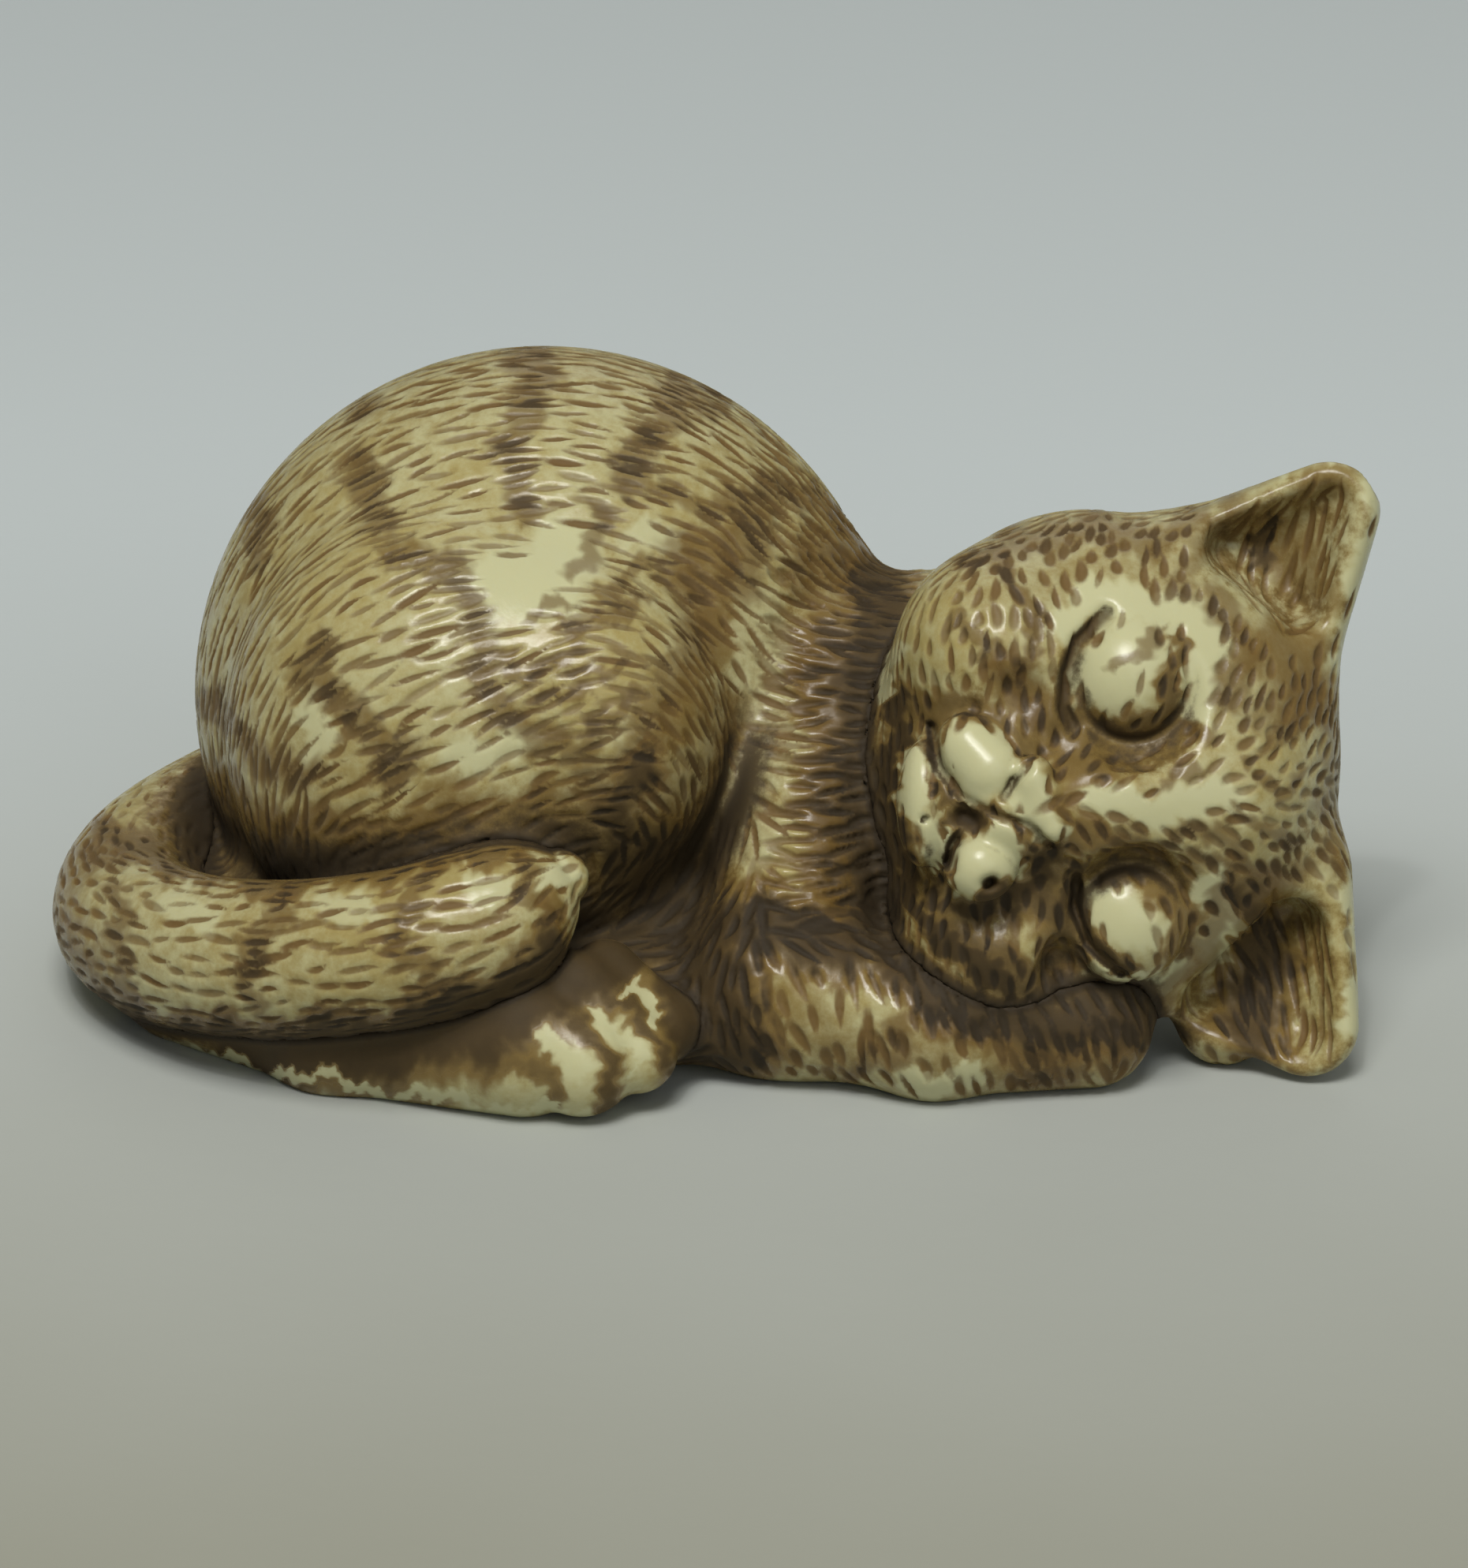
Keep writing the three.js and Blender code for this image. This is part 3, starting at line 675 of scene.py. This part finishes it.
# Dark bands carried on over the back, which the photograph does not show, in millimetres
BACK_BANDS = [
    ((-7, 2.8, 22.1), (-7.4, 8, 20.5), (-8, 12, 16.5), (-8.6, 14.2, 12)),
    ((-0.4, 4.8, 20.5), (0.5, 9, 17), (1, 11.8, 13), (1.2, 12.6, 9.5)),
    ((-12.6, 3, 20.2), (-12.8, 7.5, 18.2), (-13, 11, 13.5), (-13.2, 12, 10)),
    ((-16.7, 2.6, 16.8), (-16.5, 8, 14), (-15.6, 10.6, 11)),
    ((4.6, 3, 15.9), (5.2, 7.6, 12.5), (5.6, 9.7, 8)),
]
BACK_HALF = 0.8
BACK_INK = 0.9
BACK_STEPS = 12
# Shape of the edge of a mark, as shares of its half width
MARK_EDGE = (0.25, 1.85)
POLISH_AND_HIGHLIGHT_EDGE = (0.7, 1.35)
# Waves that the marks wander in: pixels, turns along the picture, and starts
WANDER = ((8, 0.045, (0.3, 1.7)), (6, 0.11, (2.1, 0.4)), (3.5, 0.31, (0.9, 2.6)))
# From turned just away from the camera to turned just towards it
TURNED = (-0.1, 0.15)
# Reach above the surface at which its neighbours shade it, and how much each reach counts
SHADE = ((0.5, 0.2), (1.2, 0.3), (2.6, 0.3), (5, 0.2))


def smooth(value, low, high):
    share = np.clip((value - low) / (high - low), 0, 1)
    return share * share * (3 - 2 * share)


def unit(vectors):
    return vectors / np.maximum(lengths(vectors), 1e-6)[:, None]


def camera_axes():
    rise = math.radians(CAMERA_UP)
    ahead = np.array((0, math.cos(rise), -math.sin(rise)))
    return ahead, np.array((0, math.sin(rise), math.cos(rise)))


def to_photo(points):
    """Where points show in the photograph, in its pixels."""
    ahead, up = camera_axes()
    offset = points - (np.array(AIM) - ahead * CAMERA_DISTANCE)
    scale = FOCAL_PX / (offset @ ahead)
    return np.stack([PHOTO[0] / 2 + scale * offset[:, 0], PHOTO[1] / 2 - scale * (offset @ up)], axis=1)


def marked(places, seen, marks, edge=MARK_EDGE):
    """How strongly the marks cover the places in the photograph."""
    share = np.zeros(len(places))
    for half, amount, *line in marks:
        away = line_distance(places, np.reshape(line, (-1, 2))) / half
        share = np.maximum(share, amount * (1 - smooth(away, *edge)))
    return share * seen


def find_marks(title, points, outward):
    """Ink, stain and bare places of a piece at each point; the stain is also painted shade and the bare
    places are also painted highlights.
    """
    places = to_photo(points)
    for size, turn, (one, two) in WANDER:
        places = places + size * np.sin(places[:, ::-1] * turn + (one, two))
    seen = smooth(-outward @ camera_axes()[0], *TURNED)
    inked, stain_and_shade_marks, polish_and_highlight_marks = MARKS[title]
    ink = marked(places, seen, inked)
    # Bare places, which also hold painted highlights, and stain marks, which are also painted shade, kept
    # off the bare places
    polish_and_highlight = marked(places, seen, polish_and_highlight_marks, POLISH_AND_HIGHLIGHT_EDGE)
    stain_and_shade = marked(places, seen, stain_and_shade_marks) * (1 - polish_and_highlight)
    if title == "body":
        for line in BACK_BANDS:
            away = line_distance(points, smooth_route(line, BACK_STEPS)) / BACK_HALF
            ink = np.maximum(ink, BACK_INK * (1 - smooth(away, *MARK_EDGE)))
    return ink, stain_and_shade, polish_and_highlight


def cavity_share(points, outward, total):
    """How closely the surface is shut in by what is round it."""
    closed = np.zeros(len(points))
    for reach, weight in SHADE:
        free = read_grid(total, points + outward * reach) / reach
        closed += weight * np.clip(1 - free, 0, 1)
    return closed


# Fur
# The hair runs round the back, along the neck, away from the nose and along the tail. A pair is
# where one way of lying starts to give way to the next, and where it has.
DOME_MIDDLE = (-5.3, 8)
HAUNCH_MIDDLE = (-9, 12)
HAUNCH_INNER = (3, 8)
HAUNCH_SLOPE = 25
# Heights, and the slope of the hair at each
NECK_SLOPES = ((3, 25), (8, 12), (11, 0), (17, -28))
NECK_START = (0, 3.5)
NECK_FROM = 2
FAR_SIDE = (5, 9)
FAR_SIDE_FLOW = (1, 0, 0.35)
FOREARM_FLOW = (0.25, 0, -1)
ARM_REACH = (0.2, 0.9)
ARM_TOP = (4.6, 6.4)
NOSE = -3
NOSE_CLEAR = 0.1
NOSE_FAN = (0.48, 1.6)
# The way the hair lies where its own way points straight out of the surface
SPARE_WAY = (0.2, 0.9, 0.1)
LEAST_WAY = 0.1
FUR_FLOOR = 0.6
# Distance from the hollow of an ear up to which its own fur grows, and from which the head's does
EAR_FUR = 0.1
HEAD_FUR = 0.9
# Length and width of a stroke in millimetres, how close strokes lie where the fur is plain and
# where it is inked, and how deep they are cut
KINDS = {
    "body": ((1.2, 2.6), (0.22, 0.38), (0.43, 0.24), 0.1),
    "neck": ((1.2, 2.8), (0.26, 0.42), (0.36, 0.31), 0.2),
    "head": ((0.7, 1.4), (0.26, 0.48), (0.6, 0.33), 0.1),
    "ear": ((1.4, 2.6), (0.24, 0.36), (0.36, 0.28), 0.12),
    "tail": ((0.8, 2), (0.22, 0.38), (0.56, 0.3), 0.09),
    "arm": ((0.9, 2.3), (0.26, 0.5), (0.5, 0.32), 0.14),
}
LEAN = 0.12
BEND = 0.07
STROKE_TAPER = 0.35
TAPER_LIMITS = (0.4, 1.5)
SAME_SIDE = 0.3
# A point may start a stroke where its bare mark, which also holds the painted highlights, is less than a
# number drawn between these
POLISH_AND_HIGHLIGHT_DRAW = (0.2, 0.9)
CANDIDATES = 40000
SPACING = 0.75
# Distance and tone given to a point that no stroke reaches
UNCUT = 2.0
MIDDLE_TONE = 0.5
ALL_ROUND = [(i, j, k) for i in (-1, 0, 1) for j in (-1, 0, 1) for k in (-1, 0, 1)]


def head_flow(points):
    at = to_head(points)
    on = np.maximum(at[:, 0] - NOSE, NOSE_CLEAR)
    away = np.stack([NOSE_FAN[0] * on, NOSE_FAN[1] * at[:, 1], 0 * at[:, 2]], axis=1)
    return unit(away) @ head_axes()


def body_flow(points):
    x, y, z = points.T
    ring = unit(np.stack([z - DOME_MIDDLE[1], 0 * x, DOME_MIDDLE[0] - x], axis=1))
    slope = math.radians(HAUNCH_SLOPE)
    flat = np.hypot(x - HAUNCH_MIDDLE[0], z - HAUNCH_MIDDLE[1])
    inner = (1 - smooth(flat, *HAUNCH_INNER))[:, None]
    ring = ring * (1 - inner) + np.array((math.cos(slope), 0, math.sin(slope))) * inner
    turn = np.radians(np.interp(z, *np.array(NECK_SLOPES, float).T))
    neck = np.stack([np.cos(turn), 0 * x, np.sin(turn)], axis=1)
    share = smooth(x, *NECK_START)[:, None]
    near = ring * (1 - share) + neck * share
    far = smooth(y, *FAR_SIDE)[:, None]
    arm = ((1 - smooth(cluster(points, FORELEG), *ARM_REACH)) * (1 - smooth(z, *ARM_TOP)))[:, None]
    near = near * (1 - far) + np.array(FAR_SIDE_FLOW) * far
    return unit(near * (1 - arm) + unit(np.array([FOREARM_FLOW])) * arm)


def tail_flow(points):
    middles = (TAIL_ROUTE[:-1, :3] + TAIL_ROUTE[1:, :3]) / 2
    steps = unit(np.diff(TAIL_ROUTE[:, :3], axis=0))
    near = [np.argmin(lengths(middles - point)) for point in points]
    return steps[near]


FLOWS = {"cat_head": head_flow, "cat_tail": tail_flow}


def flow(name, points, outward):
    """The way the hair lies on the surface, and the way across it."""
    way = FLOWS.get(name, body_flow)(points)
    way = way - outward * np.einsum("ij,ij->i", way, outward)[:, None]
    lost = lengths(way) < LEAST_WAY
    way[lost] = np.cross(outward[lost], SPARE_WAY)
    way = unit(way)
    return way, unit(np.cross(outward, way))


def fur_cover(name, points):
    """Kinds of fur on a piece, and where each of them grows."""
    everywhere = points[:, 2] > FUR_FLOOR
    if name == "cat_head":
        hollow = to_hollow(points)
        return {"head": hollow > HEAD_FUR, "ear": hollow < EAR_FUR}
    if name == "cat_tail":
        return {"tail": everywhere}
    if name == "cat_foot":
        return {}
    arm = (cluster(points, FORELEG) < ARM_REACH[1]) & (points[:, 2] < ARM_TOP[1])
    neck = (points[:, 0] > NECK_FROM) & ~arm
    return {"body": everywhere & ~neck & ~arm, "neck": everywhere & neck, "arm": everywhere & arm}


def spread(points, along, across, length, gaps):
    """Which of the points take a stroke: each one that no earlier stroke lies too near."""
    cells = {}
    kept = []
    for i, (x, y, z) in enumerate(np.floor(points / length).astype(int).tolist()):
        near = [j for a, b, c in ALL_ROUND for j in cells.get((x + a, y + b, z + c), ())]
        if near:
            offset = points[near] - points[i]
            ahead = offset @ along[i] / length
            beside = offset @ across[i] / gaps[i]
            if (ahead * ahead + beside * beside).min() < 1:
                continue
        kept.append(i)
        cells.setdefault((x, y, z), []).append(i)
    return kept


def draw_strokes(kind, places, points, ways, ink, rng):
    """The points that strokes of one kind start from, and the size, turn and tone of each stroke."""
    length, width, (plain, inked), _ = KINDS[kind]
    along, across = ways
    places = rng.permutation(places)[:CANDIDATES]
    gaps = plain + (inked - plain) * ink[places]
    reach = np.mean(length) * SPACING
    seeds = places[spread(points[places], along[places], across[places], reach, gaps)]
    count = len(seeds)
    sizes = [rng.uniform(*length, count), rng.uniform(*width, count)]
    turns = [rng.normal(0, LEAN, count), rng.normal(0, BEND, count)]
    return seeds, np.stack([*sizes, *turns, rng.uniform(0, 1, count)], axis=1)


def cut_strokes(points, outward, ways, seeds, sizes, tree):
    """How far each point is from the nearest stroke, 0 on its middle and 1 at its edge, and its tone."""
    along, across = ways
    nearest = np.full(len(points), UNCUT)
    tone = np.full(len(points), MIDDLE_TONE)
    for seed, (length, width, lean, bend, shade) in zip(seeds, sizes):
        way = along[seed] + across[seed] * lean
        side = across[seed] - along[seed] * lean
        found = np.array([hit[1] for hit in tree.find_range(points[seed], length)])
        offset = points[found] - points[seed]
        ahead = offset @ way / (length / 2)
        half = width / 2 * np.clip(1 - STROKE_TAPER * ahead, *TAPER_LIMITS)
        beside = (offset @ side + bend * ahead ** 2) / half
        away = np.sqrt(ahead * ahead + beside * beside)
        away[outward[found] @ outward[seed] < SAME_SIDE] = UNCUT
        closer = away < nearest[found]
        nearest[found[closer]] = away[closer]
        tone[found[closer]] = shade
    return nearest, tone


def point_tree(points):
    tree = kdtree.KDTree(len(points))
    for i, point in enumerate(points):
        tree.insert(point, i)
    tree.balance()
    return tree


def grow_fur(name, points, outward, skin, ink, polish_and_highlight, rng):
    """Distance to the nearest stroke, its tone and the depth of the cut, at each point."""
    tree = point_tree(points)
    ways = flow(name, points, outward)
    nearest = np.full(len(points), UNCUT)
    tone = np.full(len(points), MIDDLE_TONE)
    depth = np.zeros(len(points))
    for kind, cover in fur_cover(name, points).items():
        open_skin = cover & skin & (polish_and_highlight < rng.uniform(*POLISH_AND_HIGHLIGHT_DRAW, len(points)))
        seeds, sizes = draw_strokes(kind, np.flatnonzero(open_skin), points, ways, ink, rng)
        away, shade = cut_strokes(points, outward, ways, seeds, sizes, tree)
        closer = away < nearest
        nearest[closer] = away[closer]
        tone[closer] = shade[closer]
        depth = np.maximum(depth, KINDS[kind][3] * np.clip(1 - away ** 2, 0, 1))
    nearest[~skin] = UNCUT
    depth[~skin] = 0
    return nearest, tone, depth


# Pieces

def add_object(name, data):
    thing = bpy.data.objects.new(name, data)
    bpy.context.collection.objects.link(thing)
    return thing


# Depth inside the whole cat from which a piece is no longer its skin, and from which it is unseen
SKIN_DEPTH = 0.06
UNSEEN_DEPTH = 0.3
# A point on the underside lies lower than this, and faces down more than this
UNDERSIDE = (0.02, -0.9)
# How far round to the far side triangles may be spared, and how freely
FAR_SIDE_TURN = (0, 0.4)
FAR_SIDE_SPARE = 0.3
# Triangles taken out for each point that is never seen
UNSEEN_TAKEN = 1.9
# How far from its seam a piece is darkened with painted shade, in the crease where the pieces meet,
# and how much of the shade in a hollow the ears keep
SEAM = 0.55
EAR_SHADE = 0.5
EAR_MOUTH = (-0.2, 1.2)
# Depth of a face line that counts as a full cut
FULL_CUT = 0.6


def shut_in(name, points, outward, limit, total):
    """How far hollows and seams shut each point in, which the colour turns into stain and painted shade.
    """
    closed = cavity_share(points, outward, total)
    if name == "cat_head":
        closed = closed * (smooth(to_hollow(points), *EAR_MOUTH) * (1 - EAR_SHADE) + EAR_SHADE)
    # Near its seam a piece gets painted shade, for the crease between the pieces
    return np.maximum(closed, np.clip(1 + limit / SEAM, 0, 1))


def spare_share(points, outward, total):
    """How freely triangles may be taken out at each point."""
    under = (points[:, 2] < UNDERSIDE[0]) & (outward[:, 2] < UNDERSIDE[1])
    unseen = (total < -UNSEEN_DEPTH) | under
    return np.where(unseen, 1.0, FAR_SIDE_SPARE * smooth(outward[:, 1], *FAR_SIDE_TURN))


def cat_piece(name, plan, wide, rng):
    """Points, quads, marks and spare triangles of one piece, in millimetres."""
    work = piece_work(plan["parts"])
    values, low = lattice(plan, work, wide)
    part_pinches(values)
    points, quads = largest_shell(*surface_net(values, low, CELL / plan["split"]))
    points, outward, total, limit = settle(points, work)
    ink, stain_and_shade, polish_and_highlight = find_marks(plan["marks"], points, outward)
    skin = total > -SKIN_DEPTH
    nearest, tone, depth = grow_fur(name, points, outward, skin, ink, polish_and_highlight, rng)
    cut = face_cut(to_face(points)) if name == "cat_head" else np.zeros(len(points))
    cavity = shut_in(name, points, outward, limit, wide[0])
    marks = {"fur": nearest, "tone": tone, "ink": ink, "stain_and_shade": stain_and_shade, "polish_and_highlight": polish_and_highlight,
             "cavity": cavity, "cut": np.clip(cut / FULL_CUT, 0, 1)}
    spare = spare_share(points, outward, total)
    points = points - outward * depth[:, None]
    points[:, 2] = np.maximum(points[:, 2], REST_PLANE)
    return points, quads, marks, spare


def thin_out(piece, spare):
    """Takes out triangles where the piece is never seen, and then on its far side, down to its limit."""
    mesh = piece.data
    count = 2 * len(mesh.polygons)
    group = piece.vertex_groups.new(name="spare")
    levels = np.round(spare, 1)
    for level in np.unique(levels):
        group.add(np.flatnonzero(levels == level).tolist(), float(level), "REPLACE")
    modifier = piece.modifiers.new("thin out", "DECIMATE")
    modifier.vertex_group = "spare"
    modifier.vertex_group_factor = 1
    modifier.ratio = min(MOST_TRIANGLES, count - UNSEEN_TAKEN * (spare == 1).sum()) / count
    bpy.context.view_layer.update()
    graph = bpy.context.evaluated_depsgraph_get()
    piece.data = bpy.data.meshes.new_from_object(piece.evaluated_get(graph))
    piece.modifiers.clear()
    piece.vertex_groups.clear()
    bpy.data.meshes.remove(mesh)
    piece.data.name = piece.name


def add_piece(name, draft, shift, material):
    points, quads, marks, spare = draft
    mesh = bpy.data.meshes.new(name)
    mesh.from_pydata(((points + shift) * MM).tolist(), [], quads.tolist())
    for title, values in marks.items():
        mesh.attributes.new(title, "FLOAT", "POINT").data.foreach_set("value", values.astype(np.float32))
    mesh.materials.append(material)
    mesh.shade_smooth()
    piece = add_object(name, mesh)
    thin_out(piece, spare)
    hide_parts("sleeping_cat")
    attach(piece, "root")


# Materials

def linear(value):
    return ((value + 0.055) / 1.055) ** 2.4 if value > 0.04045 else value / 12.92


def srgb(*screen):
    """A colour given as it shows on a screen, as Blender's own linear one."""
    return [linear(value / 255) for value in screen] + [1]


IVORY = srgb(193, 190, 148)
HONEY = srgb(161, 145, 89)
AMBER = srgb(120, 96, 50)
BROWN = srgb(108, 83, 42)
DUST = srgb(88, 77, 56)
UMBER = srgb(70, 54, 27)
DARK = srgb(48, 37, 19)
PAPER_SHADED_NEAR = srgb(129, 125, 101)
PAPER_LIT_FAR = srgb(200, 207, 207)

# Noises: scale, detail and roughness
CLOUD = (130, 4)
SPECK = (1500, 5, 0.65)
GRAIN = (1600, 3)
# How far the specks roughen the edges of hollows, washes and strokes
RAGGED = 0.9
RAGGED_WASH = 0.6
RAGGED_STROKE = 0.7
# Where each layer of colour starts and ends on its mark, and its strength at each
YELLOWING = (0.2, 0.75, 0.25, 0.95)
# The washes from hollows and from stain marks are stain in the resin and painted shade in the creases and
# under the head
HOLLOW_STAIN_AND_SHADE = (0.1, 0.45, 0, 0.92)
STAIN_AND_SHADE_WASH = (0.1, 1, 0, 0.92)
FRINGE = (1.2, 0.5, 0, 0.4)
FRINGE_START = (0.05, 0.4)
INK_WASH = (0.15, 0.95, 0, 0.72)
DEEP_HOLLOW = (0.3, 0.7)
DEEP_STAIN_AND_SHADE = (0.95, 1.85)
DEEP_STRENGTH = 0.92
STROKE_EDGE = (1.15, 0.6)
STROKE_TONE = (0, 1, 0.55, 1)
STROKE_DARK = (0.1, 0.8, 0.3, 0.8)
GRIME_HOLLOW = (0.25, 0.7, 0, 0.25)
GRIME_SPECK = (0.4, 0.65)
LINE_SIDES = (0.15, 0.6, 0, 0.85)
LINE_FLOOR = (0.6, 1, 0, 0.7)
# The darkest hollows and the strongest stain marks go dark as painted shadow
PAINTED_HOLLOW_SHADOW = (0.55, 0.95)
PAINTED_SHADOW_DARK = (1.6, 2.4, 0, 0.6)
# From polished to worn
WORN_LINE = (0.1, 0.4)
WORN_STROKE = 0.8
ROUGHNESS = (0.26, 0.74)


class Nodes:
    """Short names for the nodes of one material."""

    def __init__(self, name):
        self.material = bpy.data.materials.new(name)
        self.material.use_nodes = True
        self.tree = self.material.node_tree
        self.surface = self.tree.nodes["Principled BSDF"]

    def set(self, socket, value):
        if isinstance(value, bpy.types.NodeSocket):
            self.tree.links.new(value, socket)
        else:
            socket.default_value = value

    def node(self, kind, output, inputs, **settings):
        """One output of a new node."""
        node = self.tree.nodes.new("ShaderNode" + kind)
        for name, value in settings.items():
            setattr(node, name, value)
        for name, value in inputs.items():
            self.set(node.inputs[name], value)
        return node.outputs[output]

    def mark(self, name):
        return self.node("Attribute", "Fac", {}, attribute_name=name)

    def place(self):
        return self.node("TexCoord", "Object", {})

    def noise(self, scale, detail, roughness=0.55):
        inputs = {"Vector": self.place(), "Scale": scale, "Detail": detail, "Roughness": roughness}
        return self.node("TexNoise", "Fac", inputs)

    def ramp(self, value, low, high, start=0, end=1):
        inputs = {"Value": value, "From Min": low, "From Max": high, "To Min": start, "To Max": end}
        return self.node("MapRange", "Result", inputs, interpolation_type="SMOOTHSTEP")

    def math(self, operation, one, two):
        return self.node("Math", "Value", {0: one, 1: two}, operation=operation)

    def add(self, one, two):
        return self.math("ADD", one, two)

    def times(self, one, two):
        return self.math("MULTIPLY", one, two)

    def most(self, one, two):
        return self.math("MAXIMUM", one, two)

    def mix(self, share, one, two):
        return self.node("Mix", "Result", {"Factor": share, "A": one, "B": two}, data_type="RGBA")

    def bump(self, height, distance, strength):
        inputs = {"Height": height, "Distance": distance, "Strength": strength}
        self.set(self.surface.inputs["Normal"], self.node("Bump", "Normal", inputs))


def resin_colours(nodes, fur, tone, ink, stain_and_shade, polish_and_highlight, cavity, cut):
    """The colour, from ivory up to the dark of the deepest lines, and how worn the surface is."""
    ramp, mix, add, times, most = nodes.ramp, nodes.mix, nodes.add, nodes.times, nodes.most
    speck = nodes.noise(*SPECK)
    ragged = times(nodes.math("SUBTRACT", speck, 0.5), RAGGED)
    # Bare places, which include painted highlights, keep the plain ivory
    kept = nodes.math("SUBTRACT", 1, polish_and_highlight)
    # How shut in a point is, and its stain mark, darken it: stain in the resin and painted shade
    hollow = add(cavity, ragged)
    fringe = times(ramp(fur, *FRINGE), ramp(stain_and_shade, *FRINGE_START))
    soaked_and_shaded = add(add(stain_and_shade, times(ragged, RAGGED_WASH)), fringe)
    deep = most(ramp(hollow, *DEEP_HOLLOW), ramp(soaked_and_shaded, *DEEP_STAIN_AND_SHADE))

    cloudy = ramp(add(nodes.noise(*CLOUD), ragged), *YELLOWING)
    base = mix(times(cloudy, kept), IVORY, HONEY)
    # Amber, then umber, in hollows and under stain marks: stain and painted shade
    shut = times(ramp(hollow, *HOLLOW_STAIN_AND_SHADE), kept)
    base = mix(most(shut, ramp(soaked_and_shaded, *STAIN_AND_SHADE_WASH)), base, AMBER)
    base = mix(ramp(ink, *INK_WASH), base, BROWN)
    base = mix(times(deep, DEEP_STRENGTH), base, UMBER)

    edge = add(fur, times(ragged, RAGGED_STROKE))
    stroke = times(ramp(edge, *STROKE_EDGE), ramp(tone, *STROKE_TONE))
    dark = most(times(ink, ramp(tone, *STROKE_DARK)), deep)
    base = mix(stroke, base, mix(dark, BROWN, DARK))

    grime = times(ramp(cavity, *GRIME_HOLLOW), ramp(speck, *GRIME_SPECK))
    base = mix(grime, base, DUST)
    base = mix(ramp(cut, *LINE_SIDES), base, UMBER)
    # Dark in the deepest hollows and under the strongest stain marks is painted shadow; the floors of the
    # face lines go dark too
    black = most(ramp(cavity, *PAINTED_HOLLOW_SHADOW), ramp(cut, *LINE_FLOOR))
    base = mix(most(black, ramp(soaked_and_shaded, *PAINTED_SHADOW_DARK)), base, DARK)
    worn = most(deep, ramp(cut, *WORN_LINE))
    return base, most(worn, times(stroke, WORN_STROKE))


def resin():
    nodes = Nodes("ivory_resin_stained_and_shaded")
    names = ("fur", "tone", "ink", "stain_and_shade", "polish_and_highlight", "cavity", "cut")
    base, worn = resin_colours(nodes, *map(nodes.mark, names))
    surface = nodes.surface.inputs
    nodes.set(surface["Base Color"], base)
    nodes.set(surface["Roughness"], nodes.ramp(worn, 0, 1, *ROUGHNESS))
    surface["Specular IOR Level"].default_value = 0.34
    surface["Subsurface Weight"].default_value = 0.12
    surface["Subsurface Radius"].default_value = (1.0, 0.7, 0.4)
    surface["Subsurface Scale"].default_value = 0.0005
    nodes.bump(nodes.noise(*GRAIN), 0.00003, 0.5)
    return nodes.material


# The floor's colour is painted light: darker near the camera and paler away from it, and SHIFT is how far
# the noise of CLOUD moves that
PAPER_SPAN = (-0.07, 0.08)
PAPER_CLOUD = (9, 4)
PAPER_SHIFT = 0.04
PAPER_GRAIN = (700, 3)


def floor_paint():
    nodes = Nodes("pale_paper")
    depth = nodes.node("SeparateXYZ", "Y", {"Vector": nodes.place()})
    depth = nodes.add(depth, nodes.times(nodes.noise(*PAPER_CLOUD), PAPER_SHIFT))
    # Painted shade near the camera fading to painted light away from it
    colour = nodes.mix(nodes.ramp(depth, *PAPER_SPAN), PAPER_SHADED_NEAR, PAPER_LIT_FAR)
    nodes.set(nodes.surface.inputs["Base Color"], colour)
    nodes.surface.inputs["Roughness"].default_value = 0.9
    nodes.bump(nodes.noise(*PAPER_GRAIN), 0.00005, 0.3)
    return nodes.material


# Room
FLOOR_SIZE = 3.0
SENSOR = 36.0
CLIP_START = 0.01
# Round lamps that face the cat: place, size and watts
WHITE = (1, 1, 1)
LIGHTS = {
    "key": ((-0.04, -0.27, 0.48), 0.25, 2.05, (1, 0.99, 0.96)),
    "glint": ((-0.06, -0.3, 0.46), 0.03, 0.35, WHITE),
    "fill": ((0.2, -0.42, 0.25), 0.4, 0.35, (0.95, 0.98, 1)),
    "back": ((0.05, 0.45, 0.4), 0.4, 0.2, WHITE),
}
SKY = (0.9, 0.94, 0.9, 1)
SKY_STRENGTH = 0.2


def add_camera(shift):
    data = bpy.data.cameras.new("camera")
    data.sensor_width = SENSOR
    data.lens = FOCAL_PX * SENSOR / max(PHOTO)
    data.clip_start = CLIP_START
    camera = add_object("camera", data)
    camera.location = (np.array(AIM) + shift - camera_axes()[0] * CAMERA_DISTANCE) * MM
    camera.rotation_euler = (math.pi / 2 - math.radians(CAMERA_UP), 0, 0)
    bpy.context.scene.camera = camera


def add_light(name, place, size, power, colour):
    data = bpy.data.lights.new(name, "AREA")
    data.shape = "DISK"
    data.size = size
    data.energy = power
    data.color = colour
    light = add_object(name, data)
    light.location = place
    light.rotation_euler = (-Vector(place)).to_track_quat("-Z", "Y").to_euler()


def add_floor():
    mesh = bpy.data.meshes.new("floor")
    half = FLOOR_SIZE / 2
    corners = [(-half, -half, 0), (half, -half, 0), (half, half, 0), (-half, half, 0)]
    mesh.from_pydata(corners, [], [(0, 1, 2, 3)])
    mesh.materials.append(floor_paint())
    floor = add_object("floor", mesh)
    floor.location.z = CAD_BOX[0][2]


def add_sky():
    world = bpy.data.worlds.new("studio")
    world.use_nodes = True
    sky = world.node_tree.nodes["Background"].inputs
    sky["Color"].default_value = SKY
    sky["Strength"].default_value = SKY_STRENGTH
    bpy.context.scene.world = world
    bpy.context.scene.view_settings.view_transform = "Standard"


def build():
    rng = np.random.default_rng(SEED)
    wide = wide_grid()
    material = resin()
    drafts = {name: cat_piece(name, plan, wide, rng) for name, plan in PIECES.items()}
    points = np.concatenate([draft[0] for draft in drafts.values()])
    low, high = points.min(axis=0), points.max(axis=0)
    shift = np.mean([np.array(corner) for corner in CAD_BOX], axis=0) / MM - (low + high) / 2
    shift[2] = CAD_BOX[0][2] / MM - low[2]
    for name, draft in drafts.items():
        add_piece(name, draft, shift, material)
    add_floor()
    for name, light in LIGHTS.items():
        add_light(name, *light)
    add_sky()
    add_camera(shift)


build()
